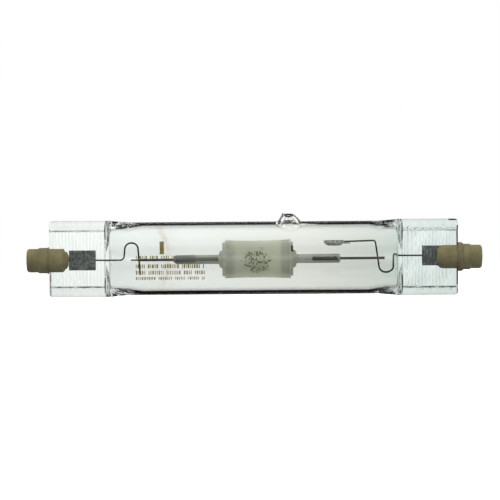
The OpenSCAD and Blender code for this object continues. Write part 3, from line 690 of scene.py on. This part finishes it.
def painted_dark_lines(tree, x, h):
    """Thin dark lines painted into the glass's tint, painted shade for the dark edges that refraction shows:
    at a shoulder, along the rails and round the ends.
    """
    uneven = grain(tree, place(tree, DASH_STRETCH), DASH_MM, detail=2.0)
    dashes = between(tree, uneven, *DASH_RANGE, DASH_GAP_LEVEL, 1.0)
    total = 0.0
    for left, right, low, high, level, dashed in PAINTED_DARK_LINES:
        along_x = window(tree, x, left, right, LINE_SOFT_MM)
        line = sums(tree, "MULTIPLY", along_x, window(tree, h, low, high, LINE_SOFT_MM, level))
        if dashed:
            line = sums(tree, "MULTIPLY", line, dashes)
        total = sums(tree, "MAXIMUM", total, line)
    return total


def tan_band(tree, apart, h):
    """A faint tan veil on the back of the tube, bowed from top to bottom."""
    bow = sums(tree, "MULTIPLY", sums(tree, "MULTIPLY", h, h), TAN_BAND_BOW)
    off = sums(tree, "SUBTRACT", apart.outputs[0], TAN_BAND_X_MM * MM)
    away = sums(tree, "ABSOLUTE", sums(tree, "ADD", off, bow))
    core = between(tree, away, 0.0, TAN_BAND_CORE_MM * MM, 1.0, 0.0)
    veil = between(tree, away, TAN_BAND_CORE_MM * MM, TAN_BAND_VEIL_MM * MM, TAN_BAND_VEIL_SHARE, 0.0)
    patches = grain(tree, place(tree), TAN_BAND_PATCH_MM, detail=2.0)
    uneven = between(tree, patches, *TAN_BAND_PATCH_RANGE, TAN_BAND_PATCH_LEVEL, 1.0)
    at_back = between(tree, apart.outputs[1], 0.0, MM)
    shown = sums(tree, "MULTIPLY", uneven, at_back)
    return sums(tree, "MULTIPLY", sums(tree, "MAXIMUM", core, veil), shown)


def quartz_finish():
    """Clear fused quartz: water-clear at the left, a breath of green in the right pinch, painted shade
    towards the right and the bottom, drawn waves.
    """
    finish, tree, out = start_finish("clear fused quartz")
    spot = place(tree)
    apart = add(tree, "ShaderNodeSeparateXYZ", {0: spot})
    far = sums(tree, "ABSOLUTE", apart.outputs[0])
    in_pinch = between(tree, far, *metres(PRESSED_FROM_MM))
    over_axis = sums(tree, "SUBTRACT", apart.outputs[2], AXIS_Z_MM * MM)
    off_axis = sums(tree, "ABSOLUTE", over_axis)
    corners = sums(
        tree,
        "MULTIPLY",
        between(tree, far, *metres(FOLDED_FROM_MM)),
        between(tree, off_axis, *metres(FOLDED_OFF_AXIS_MM)),
    )
    size_mm, depth_mm, stretch = WAVES
    normal = relief(tree, grain(tree, place(tree, stretch), size_mm, detail=1.0), depth_mm)
    size_mm, depth_mm, stretch = FOLDS
    folds = grain(tree, place(tree, stretch), size_mm, detail=1.0)
    normal = relief(tree, sums(tree, "MULTIPLY", folds, corners), depth_mm, normal)
    size_mm, depth_mm, stretch = STREAKS
    streaks = grain(tree, place(tree, stretch), size_mm)
    normal = relief(tree, sums(tree, "MULTIPLY", streaks, in_pinch), depth_mm, normal)
    along_lamp = between(tree, apart.outputs[0], -TINT_REACH_MM * MM, TINT_REACH_MM * MM)
    # painted shade: the tint darkens towards the right, over the pinch's own green
    tint = tones(tree, along_lamp, QUARTZ_TINT_AND_SHADE)
    # painted shade: the glass greyer towards the bottom
    low = between(tree, apart.outputs[2], *metres(LOW_SHADE_MM), 1.0, 0.0)
    tint = pair(tree, low, tint, shaded_lower(tree, tint))
    # a faint tan band mixed into the tint on the back of the tube
    tint = pair(tree, tan_band(tree, apart, over_axis), tint, linear(TAN_BAND_TONE))
    # painted shade: dark lines mixed into the tint where refraction darkens the pinches and ends
    tint = pair(tree, painted_dark_lines(tree, apart.outputs[0], over_axis), tint, linear(DARK_LINE_TONE))
    glass = add(
        tree,
        "ShaderNodeBsdfPrincipled",
        {
            "Base Color": tint,
            "Roughness": 0.0,
            "IOR": QUARTZ_IOR,
            "Transmission Weight": 1.0,
            "Normal": normal,
        },
    )
    clear = add(tree, "ShaderNodeBsdfTransparent", {"Color": linear(CLEAR_TONE)})
    shader = mixed(tree, shown_by_light(tree), glass.outputs[0], clear.outputs[0])
    tree.links.new(shader, out.inputs["Surface"])
    return finish


def shaded_lower(tree, tint):
    """The same tint, a little greyer: painted shade on the lower side of the glass."""
    made = add(tree, "ShaderNodeMix", data_type="RGBA", blend_type="MULTIPLY")
    made.inputs[0].default_value = 1.0
    tree.links.new(tint, made.inputs[6])
    made.inputs[7].default_value = linear(LOW_SHADE_TINT)
    return made.outputs[2]


def ceramic_finish():
    """Pressed steatite: matt khaki, with a fine grain and darker grime."""
    finish, tree, out = start_finish("khaki pressed ceramic")
    spot = place(tree)
    broad = grain(tree, spot, size_mm=4)
    fine = grain(tree, spot, size_mm=0.35, detail=4.0)
    base = tones(tree, broad, [(0.3, "#575137"), (0.5, "#655f41"), (0.72, "#6f694b")])
    speck = between(tree, fine, low=0.62, high=0.75, out_high=0.35)
    base = pair(tree, speck, base, linear("#413c28"))
    body = add(
        tree,
        "ShaderNodeBsdfPrincipled",
        {"Base Color": base, "Roughness": 0.62, "Normal": relief(tree, fine, depth_mm=0.03)},
    )
    tree.links.new(body.outputs[0], out.inputs["Surface"])
    return finish


def cement_finish():
    """Dried cement: the caps' khaki with a coarser, greyer crumb."""
    finish, tree, out = start_finish("dried cement")
    spot = place(tree)
    crumb = grain(tree, spot, size_mm=0.5, detail=5.0, roughness=0.7)
    base = tones(tree, crumb, [(0.3, "#47412b"), (0.55, "#676146"), (0.75, "#7c765c")])
    body = add(
        tree,
        "ShaderNodeBsdfPrincipled",
        {"Base Color": base, "Roughness": 0.85, "Normal": relief(tree, crumb, depth_mm=0.12)},
    )
    tree.links.new(body.outputs[0], out.inputs["Surface"])
    return finish


def metal_finish(name, stretch=(1, 1, 1)):
    """A metal whose tone and roughness wander a little."""
    dark, light, roughness, metallic, size_mm, depth_mm = METALS[name]
    finish, tree, out = start_finish(name)
    tone = grain(tree, place(tree, stretch), size_mm)
    base = tones(tree, tone, [(0.3, dark), (0.7, light)])
    rough = between(
        tree, tone, *GRAIN_RANGE, roughness - METAL_ROUGH_SWING, roughness + METAL_ROUGH_SWING
    )
    body = add(
        tree,
        "ShaderNodeBsdfPrincipled",
        {
            "Base Color": base,
            "Metallic": metallic,
            "Roughness": rough,
            "Normal": relief(tree, tone, depth_mm),
        },
    )
    tree.links.new(body.outputs[0], out.inputs["Surface"])
    return finish


def foil_finish(name, stretch, size_mm):
    """Molybdenum foil etched and welded in the glass: dark blue-grey mottle with paler creases."""
    finish, tree, out = start_finish(name)
    spot = place(tree, stretch)
    mottle = grain(tree, spot, size_mm, detail=4.0, roughness=0.65)
    base = tones(tree, mottle, [(0.36, "#202423"), (0.48, "#3f4543"), (0.58, "#5f6561"), (0.7, "#8b928d")])
    body = add(
        tree,
        "ShaderNodeBsdfPrincipled",
        {
            "Base Color": base,
            "Metallic": 0.35,
            "Roughness": 0.5,
            "Normal": relief(tree, mottle, depth_mm=0.12),
        },
    )
    tree.links.new(body.outputs[0], out.inputs["Surface"])
    return finish


def crystals(tree, spot, size_mm):
    """Small separate grains: a random number for each, and a mask that is 1 on the grain."""
    cells = add(tree, "ShaderNodeTexVoronoi", {"Vector": spot, "Scale": 1 / (size_mm * MM)})
    own = add(tree, "ShaderNodeSeparateColor", {0: cells.outputs["Color"]})
    dot = between(tree, cells.outputs["Distance"], *CRYSTAL_EDGE, 1.0, 0.0)
    return own.outputs[0], dot


def salt_specks(tree, base):
    """Dark yellow-green specks of salt that show through the middle of the barrel, over a middle painted
    paler as if lit from behind.
    """
    spot = place(tree)
    apart = add(tree, "ShaderNodeSeparateXYZ", {0: spot})
    across = share_off(tree, apart.outputs[0], SALT_X_MM, SALT_REACH_X_MM)
    up = share_off(tree, apart.outputs[2], SALT_Z_MM, SALT_REACH_Z_MM)
    away = sums(tree, "ADD", sums(tree, "POWER", across, 2.0), sums(tree, "POWER", up, 2.0))
    ragged = sums(tree, "ADD", sums(tree, "SQRT", away), swing(tree, SALT_RAGGED_MM, SALT_RAGGED))
    near = between(tree, ragged, SALT_FADE_FROM, 1.0, 1.0, 0.0)
    own, dot = crystals(tree, spot, SALT_GRAIN_MM)
    cast = tones(tree, own, SALT_TONES)
    # painted light: the middle of the barrel painted paler, as if lit through from behind
    fade_out = between(tree, apart.outputs[0], *metres(BACKLIT_RIGHT_MM), 1.0, 0.0)
    fade_in = between(tree, apart.outputs[0], *metres(BACKLIT_LEFT_MM))
    growing = between(tree, apart.outputs[0], BACKLIT_LEFT_MM[1] * MM, BACKLIT_RIGHT_MM[0] * MM, *BACKLIT_SHARES)
    pale = sums(tree, "MULTIPLY", sums(tree, "MULTIPLY", fade_out, fade_in), growing)
    backlit_middle = pair(tree, pale, base, linear(BACKLIT_MIDDLE_TONE))
    return pair(tree, sums(tree, "MULTIPLY", near, dot), backlit_middle, cast)


def stained(tree, base, stains):
    """Darker stretches where metal or frit inside a leg shows through its wall."""
    apart = add(tree, "ShaderNodeSeparateXYZ", {0: place(tree)})
    off_axis = sums(tree, "SUBTRACT", apart.outputs[2], AXIS_Z_MM * MM)
    ragged = swing(tree, STAIN_RAGGED_MM, STAIN_EDGE_MM * MM)
    cover = 0.0
    for left, right, middle, half, colour, share in stains:
        away = sums(tree, "ABSOLUTE", sums(tree, "SUBTRACT", off_axis, middle * MM))
        away = sums(tree, "ADD", away, ragged)
        inside = between(tree, away, (half - STAIN_EDGE_MM) * MM, (half + STAIN_EDGE_MM) * MM, share, 0.0)
        along_leg = window(tree, apart.outputs[0], left, right, STAIN_EDGE_MM)
        shown = sums(tree, "MULTIPLY", inside, along_leg)
        base = pair(tree, shown, base, linear(colour))
        cover = sums(tree, "MAXIMUM", cover, shown)
    return base, cover


def alumina_finish(name, dark, light, clear, glow, salted=False, stains=()):
    """Sintered translucent alumina: milky grey-beige that lets some backdrop and the dark core through."""
    finish, tree, out = start_finish(name)
    spot = place(tree)
    cloud = grain(tree, spot, size_mm=2.6)
    base = tones(tree, cloud, [(0.3, dark), (0.7, light)])
    milk = pair(tree, MILK_SHARE, base, linear(WHITE))
    if salted:
        base, milk = salt_specks(tree, base), salt_specks(tree, milk)
    milk = stained(tree, milk, stains)[0]
    base, cover = stained(tree, base, stains)
    clear = sums(tree, "MULTIPLY", sums(tree, "SUBTRACT", 1.0, cover), clear)
    body = add(
        tree,
        "ShaderNodeBsdfPrincipled",
        {
            "Base Color": base,
            "Roughness": 0.42,
            "Normal": relief(tree, grain(tree, spot, size_mm=0.3), depth_mm=0.01),
        },
    )
    through = add(tree, "ShaderNodeBsdfTranslucent", {"Color": milk})
    clear_part = add(tree, "ShaderNodeBsdfTransparent", {"Color": linear("#d9d9d0")})
    milky = mixed(tree, glow, body.outputs[0], through.outputs[0])
    tree.links.new(mixed(tree, clear, milky, clear_part.outputs[0]), out.inputs["Surface"])
    return finish


def halide_finish():
    """Condensed halide salts: dark specks with a yellow-green cast, bare wall between them."""
    finish, tree, out = start_finish("condensed halide salt")
    spot = place(tree)
    own, dot = crystals(tree, spot, size_mm=0.8)
    cast = tones(tree, grain(tree, spot, size_mm=2.2), [(0.35, "#3c3d2a"), (0.65, "#7c7f4c")])
    salt = add(tree, "ShaderNodeBsdfPrincipled", {"Base Color": cast, "Roughness": 0.5})
    bare = add(tree, "ShaderNodeBsdfTransparent")
    shown = sums(tree, "MULTIPLY", dot, between(tree, own, low=0.5, high=0.55))
    tree.links.new(mixed(tree, shown, bare.outputs[0], salt.outputs[0]), out.inputs["Surface"])
    return finish


def frit_finish():
    """Sealing frit: dark grey glass, a little glossy."""
    finish, tree, out = start_finish("sealing frit")
    cloud = grain(tree, place(tree), size_mm=0.8)
    base = tones(tree, cloud, [(0.3, "#3d4142"), (0.7, "#606566")])
    body = add(tree, "ShaderNodeBsdfPrincipled", {"Base Color": base, "Roughness": 0.3})
    tree.links.new(body.outputs[0], out.inputs["Surface"])
    return finish


def ink_finish():
    """Fired-on ink: golden tan, thin and uneven."""
    finish, tree, out = start_finish("fired tan ink")
    wear = grain(tree, place(tree), size_mm=0.5)
    base = tones(tree, wear, [(0.3, "#b0964f"), (0.7, "#cdb87e")])
    body = add(tree, "ShaderNodeBsdfPrincipled", {"Base Color": base, "Roughness": 0.5})
    through = add(tree, "ShaderNodeBsdfTranslucent", {"Color": base})
    tree.links.new(mixed(tree, 0.5, body.outputs[0], through.outputs[0]), out.inputs["Surface"])
    return finish


def dress(objects, finish):
    """Gives pieces their finish and the slot it belongs to."""
    for piece in objects:
        piece.data.materials.clear()
        piece.data.materials.append(finish)


# Generic print on the glass

INK_R_MM = TUBE_R_MM + 0.015
INK_T_MM = 0.03
PRINT_LEFT_MM = -36.0
PRINT_RIGHT_MM = -15.0
PRINT_ROWS = [(0.3, 1.15), (-2.6, 1.3), (-4.7, 1.25), (-6.6, 1.0)]
TICK_WIDTHS_MM = (0.22, 0.3, 0.5)
TICK_GAP_MM = 0.27
WORD_GAP_MM = 0.7
SOLID_BAR = (-28.8, -27.5, 1.4, 5.6)
WORD_TICKS = (4, 9)
BAR_STEPS = 3


def bar_on_glass(shell, x0, x1, low, high):
    """A plain bar of ink on the back of the tube, bent to its round.

    It is made corner by corner, because hundreds of bars cut out of a tube would come out ragged.
    """
    rings = []
    for radius in (INK_R_MM, INK_R_MM + INK_T_MM):
        for i in range(BAR_STEPS + 1):
            h = low + (high - low) * i / BAR_STEPS
            y = math.sqrt(radius**2 - h**2)
            rings.append([shell.verts.new((x * MM, y * MM, (h + AXIS_Z_MM) * MM)) for x in (x0, x1)])
    inner, outer = rings[: BAR_STEPS + 1], rings[BAR_STEPS + 1 :]
    for i in range(BAR_STEPS):
        shell.faces.new((inner[i][0], inner[i][1], inner[i + 1][1], inner[i + 1][0]))
        shell.faces.new((outer[i][1], outer[i][0], outer[i + 1][0], outer[i + 1][1]))
        for side in (0, 1):
            shell.faces.new((inner[i][side], inner[i + 1][side], outer[i + 1][side], outer[i][side]))
    for i in (0, BAR_STEPS):
        shell.faces.new((inner[i][0], inner[i][1], outer[i][1], outer[i][0]))


def plain_print():
    """Rows of small plain bars and one solid bar, where a lamp carries its print."""
    random.seed(7)
    shell = bmesh.new()
    for middle, tall in PRINT_ROWS:
        x = PRINT_LEFT_MM
        while x < PRINT_RIGHT_MM:
            word = random.randint(*WORD_TICKS)
            for _ in range(word):
                wide = random.choice(TICK_WIDTHS_MM)
                if x + wide < PRINT_RIGHT_MM:
                    bar_on_glass(shell, x, x + wide, middle - tall / 2, middle + tall / 2)
                x += wide + TICK_GAP_MM
            x += WORD_GAP_MM
    bar_on_glass(shell, *SOLID_BAR)
    bmesh.ops.recalc_face_normals(shell, faces=shell.faces)
    mesh = bpy.data.meshes.new("plain_print")
    shell.to_mesh(mesh)
    shell.free()
    print_piece = bpy.data.objects.new("plain_print", mesh)
    bpy.context.scene.collection.objects.link(print_piece)
    return print_piece


# Studio

# Camera: width of the picture at the lamp, distance, aim, roll in degrees and sensor
FRAME_MM = 150.74
CAMERA_BACK_MM = 1100.0
AIM_X_MM = -1.31
AIM_Z_MM = 13.9
ROLL = 0.39
SENSOR_MM = 36.0
CLIP_M = (0.01, 100)
# The brightest level that a part of the tent may have
TENT_GLOW = 1.25
# Levels round the tent by turn / 180 degrees away from straight through, and by height for light that
# went straight through, came off the outer skin, or turned back inside the wall (0 down, 1 up)
TENT_PANELS = [
    (0.0, 1.0), (0.012, 1.0), (0.03, 0.88), (0.045, 1.2), (0.065, 1.2), (0.088, 0.3), (0.108, 0.3),
    (0.14, 1.2), (0.3, 1.15), (0.44, 0.65), (0.56, 0.65), (0.7, 1.0), (1.0, 1.0),
]
CLEAR_BANDS = [(0.0, 1.0), (0.24, 1.0), (0.38, 0.86), (0.5, 0.8), (0.7, 0.9), (1.0, 1.0)]
SKIN_BANDS = [(0.0, 1.0), (0.08, 1.0), (0.2, 0.03), (0.88, 0.03), (0.96, 0.9), (1.0, 1.0)]
WALL_BANDS = [
    (0.0, 1.0), (0.1, 0.9), (0.17, 0.0), (0.46, 0.0), (0.485, 1.0), (0.515, 1.0), (0.565, 0.0),
    (0.79, 0.0), (0.86, 0.9), (1.0, 1.0),
]
# How far along the lamp a ray leans where the bands fade to plain white
TENT_ACROSS = (0.14, 0.3)
# Light on the pieces themselves, from the front and from behind, and how far it takes to change
SOFT_LIGHT = 0.45
BACK_LIGHT = 1.5
SOFT_RANGE = (-0.2, 0.6)
# The white sweep: its size, its tone seen and in the light it sends up, and how much it is lifted
FLOOR_M = 6
FLOOR_TONE = "#f2f2f2"
FLOOR_TONE_BELOW = "#9c9c9c"
FLOOR_LIFT = 0.55
# Soft lights: place, aim and size in metres, and power in watts
LIGHTS = {
    "key": ((-0.35, -0.55, 0.75), (0, 0, 0.01), (0.5, 0.35), 6.6),
    "fill": ((0.55, -0.5, 0.4), (0, 0, 0.01), (0.5, 0.4), 2.8),
}
GLASS_BOUNCES = 24
GLOSSY_BOUNCES = 12


def camera():
    """The photograph's view: level, square on to the flat of the pinches, a touch of roll."""
    eye = bpy.data.cameras.new("camera")
    eye.sensor_width = SENSOR_MM
    eye.lens = SENSOR_MM * CAMERA_BACK_MM / FRAME_MM
    eye.clip_start, eye.clip_end = CLIP_M
    holder = bpy.data.objects.new("camera", eye)
    holder.location = (AIM_X_MM * MM, -CAMERA_BACK_MM * MM, AIM_Z_MM * MM)
    holder.rotation_euler = (math.radians(90), math.radians(ROLL), 0)
    bpy.context.scene.collection.objects.link(holder)
    bpy.context.scene.camera = holder


def bands(tree, factor, stops):
    """A factor ramp of (place, level) stops."""
    ramp = add(tree, "ShaderNodeFloatCurve", {"Value": factor})
    curve = ramp.mapping.curves[0]
    ramp.mapping.clip_max_y = TENT_GLOW
    for at, level in stops[1:-1]:
        curve.points.new(at, level)
    for point, (at, level) in zip(curve.points, stops):
        point.location = (at, level)
        point.handle_type = "VECTOR"
    ramp.mapping.update()
    return ramp.outputs[0]


def level_between(tree, factor, first, second):
    """Two levels mixed by a factor."""
    made = add(tree, "ShaderNodeMix", {0: factor, 2: first, 3: second}, data_type="FLOAT")
    return made.outputs[0]


def world():
    """A white light tent with darker seams. Light that bounced inside the glass meets its dark side."""
    sky = bpy.data.worlds.new("light tent")
    bpy.context.scene.world = sky
    sky.use_nodes = True
    tree = sky.node_tree
    tree.nodes.clear()
    out = tree.nodes.new("ShaderNodeOutputWorld")
    spot = add(tree, "ShaderNodeTexCoord").outputs["Generated"]
    apart = add(tree, "ShaderNodeSeparateXYZ", {0: spot})
    x, y, z = apart.outputs[0], apart.outputs[1], apart.outputs[2]
    turn = sums(tree, "DIVIDE", sums(tree, "ABSOLUTE", sums(tree, "ARCTAN2", x, y)), math.pi)
    panels = bands(tree, turn, TENT_PANELS)
    height = sums(tree, "ABSOLUTE", z)
    path = add(tree, "ShaderNodeLightPath")
    bounced = sums(tree, "MINIMUM", path.outputs["Glossy Depth"], 1.0)
    inside = sums(tree, "MINIMUM", path.outputs["Transmission Depth"], 1.0)
    from_skin = bands(tree, height, SKIN_BANDS)
    from_wall = bands(tree, sums(tree, "MULTIPLY", sums(tree, "ADD", z, 1.0), 0.5), WALL_BANDS)
    straight = bands(tree, height, CLEAR_BANDS)
    bent = level_between(tree, inside, from_skin, from_wall)
    sideways = between(tree, sums(tree, "ABSOLUTE", x), *TENT_ACROSS)
    bent = level_between(tree, sideways, bent, 1.0)
    tone = sums(tree, "MULTIPLY", panels, level_between(tree, bounced, straight, bent))
    tent = add(tree, "ShaderNodeBackground", {"Color": tone, "Strength": 1.0})
    plain = add(tree, "ShaderNodeBackground", {"Color": linear(WHITE), "Strength": 1.0})
    soft_level = between(tree, y, *SOFT_RANGE, SOFT_LIGHT, BACK_LIGHT)
    soft = add(tree, "ShaderNodeBackground", {"Color": linear(WHITE), "Strength": soft_level})
    through = sums(tree, "MAXIMUM", path.outputs["Is Glossy Ray"], path.outputs["Is Transmission Ray"])
    seen = mixed(tree, through, soft.outputs[0], tent.outputs[0])
    shader = mixed(tree, path.outputs["Is Camera Ray"], seen, plain.outputs[0])
    tree.links.new(shader, out.inputs["Surface"])


def studio_light(name, place_m, aim_m, size_m, power):
    """A soft light that the glass neither mirrors nor shows."""
    lamp = bpy.data.lights.new(name, "AREA")
    lamp.shape = "RECTANGLE"
    lamp.size, lamp.size_y = size_m
    lamp.energy = power
    holder = bpy.data.objects.new(name, lamp)
    holder.location = place_m
    holder.rotation_euler = (Vector(aim_m) - Vector(place_m)).to_track_quat("-Z", "Y").to_euler()
    holder.visible_glossy = False
    holder.visible_transmission = False
    bpy.context.scene.collection.objects.link(holder)


def floor():
    """A plain white floor that keeps the soft shadow under the lamp."""
    bpy.ops.object.select_all(action="DESELECT")
    bpy.ops.mesh.primitive_plane_add(size=FLOOR_M, location=(0, 0, 0))
    sheet = bpy.context.object
    sheet.name = "floor"
    finish, tree, out = start_finish("white sweep")
    pale = add(tree, "ShaderNodeBsdfDiffuse", {"Color": linear(FLOOR_TONE)})
    dim = add(tree, "ShaderNodeBsdfDiffuse", {"Color": linear(FLOOR_TONE_BELOW)})
    lift = add(tree, "ShaderNodeEmission", {"Color": linear(WHITE), "Strength": FLOOR_LIFT})
    path = add(tree, "ShaderNodeLightPath")
    matt = mixed(tree, path.outputs["Is Diffuse Ray"], pale.outputs[0], dim.outputs[0])
    none = add(tree, "ShaderNodeEmission", {"Strength": 0.0})
    lift_seen = mixed(tree, path.outputs["Is Camera Ray"], none.outputs[0], lift.outputs[0])
    whole = add(tree, "ShaderNodeAddShader", {0: matt, 1: lift_seen})
    tree.links.new(whole.outputs[0], out.inputs["Surface"])
    sheet.data.materials.append(finish)
    sheet.visible_glossy = False
    sheet.visible_transmission = False


# Build

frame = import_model()
nodes = frame["nodes"]


def named(*names):
    """Pieces of the CAD model by their names."""
    return [nodes[n] for n in names]


def both(name):
    """The left and the right piece of a pair."""
    return named("left_" + name, "right_" + name)


glass = blown_glass()
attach(glass, "root")
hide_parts("quartz_envelope")
quartz = quartz_finish()
dress([glass], quartz)
dress(named("quartz_envelope"), quartz)

ink = plain_print()
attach(ink, "root")
dress([ink], ink_finish())

dress(both("ceramic_cap"), ceramic_finish())
dress(both("cap_cement"), cement_finish())
dress(both("contact_button"), metal_finish("nickelled contact"))
wire = metal_finish("drawn molybdenum wire", WIRE_STRETCH)
dress(both("outer_lead") + both("inner_lead") + both("mandrel") + both("overwind"), wire)
mottled = foil_finish("mottled molybdenum foil", stretch=(1, 1, 0.8), size_mm=0.55)
dress(named("left_foil"), mottled)
streaked = foil_finish("streaked molybdenum foil", stretch=(1.4, 1, 0.3), size_mm=0.55)
dress(named("right_foil"), streaked)
milky = alumina_finish("translucent alumina barrel", "#c8c9c2", "#d5d5ce", clear=0.34, glow=0.78, salted=True)
dress(named("arc_tube_barrel"), milky)
for side, stains in PLUG_STAINS.items():
    name = f"translucent alumina, {side} plug"
    milky = alumina_finish(name, "#b2b2a8", "#c0c0b6", clear=0.4, glow=0.5, stains=stains)
    dress(named(side + "_plug_and_leg"), milky)
dress(both("niobium_rod"), metal_finish("niobium rod"))
dress(both("frit_seal"), frit_finish())
dress(both("electrode_shank") + both("electrode_coil"), metal_finish("tungsten"))
dress(named("getter_dish"), metal_finish("nickelled getter dish"))
dress(named("getter_fill"), metal_finish("pressed getter powder"))
dress(named("halide_film"), halide_finish())
dress(named("mercury_drop"), metal_finish("mercury"))

camera()
world()
floor()
for name, measures in LIGHTS.items():
    studio_light(name, *measures)

bpy.context.scene.view_settings.view_transform = "Standard"
cycles = bpy.context.scene.cycles
cycles.max_bounces = GLASS_BOUNCES
cycles.transmission_bounces = GLASS_BOUNCES
cycles.transparent_max_bounces = GLASS_BOUNCES
cycles.glossy_bounces = GLOSSY_BOUNCES
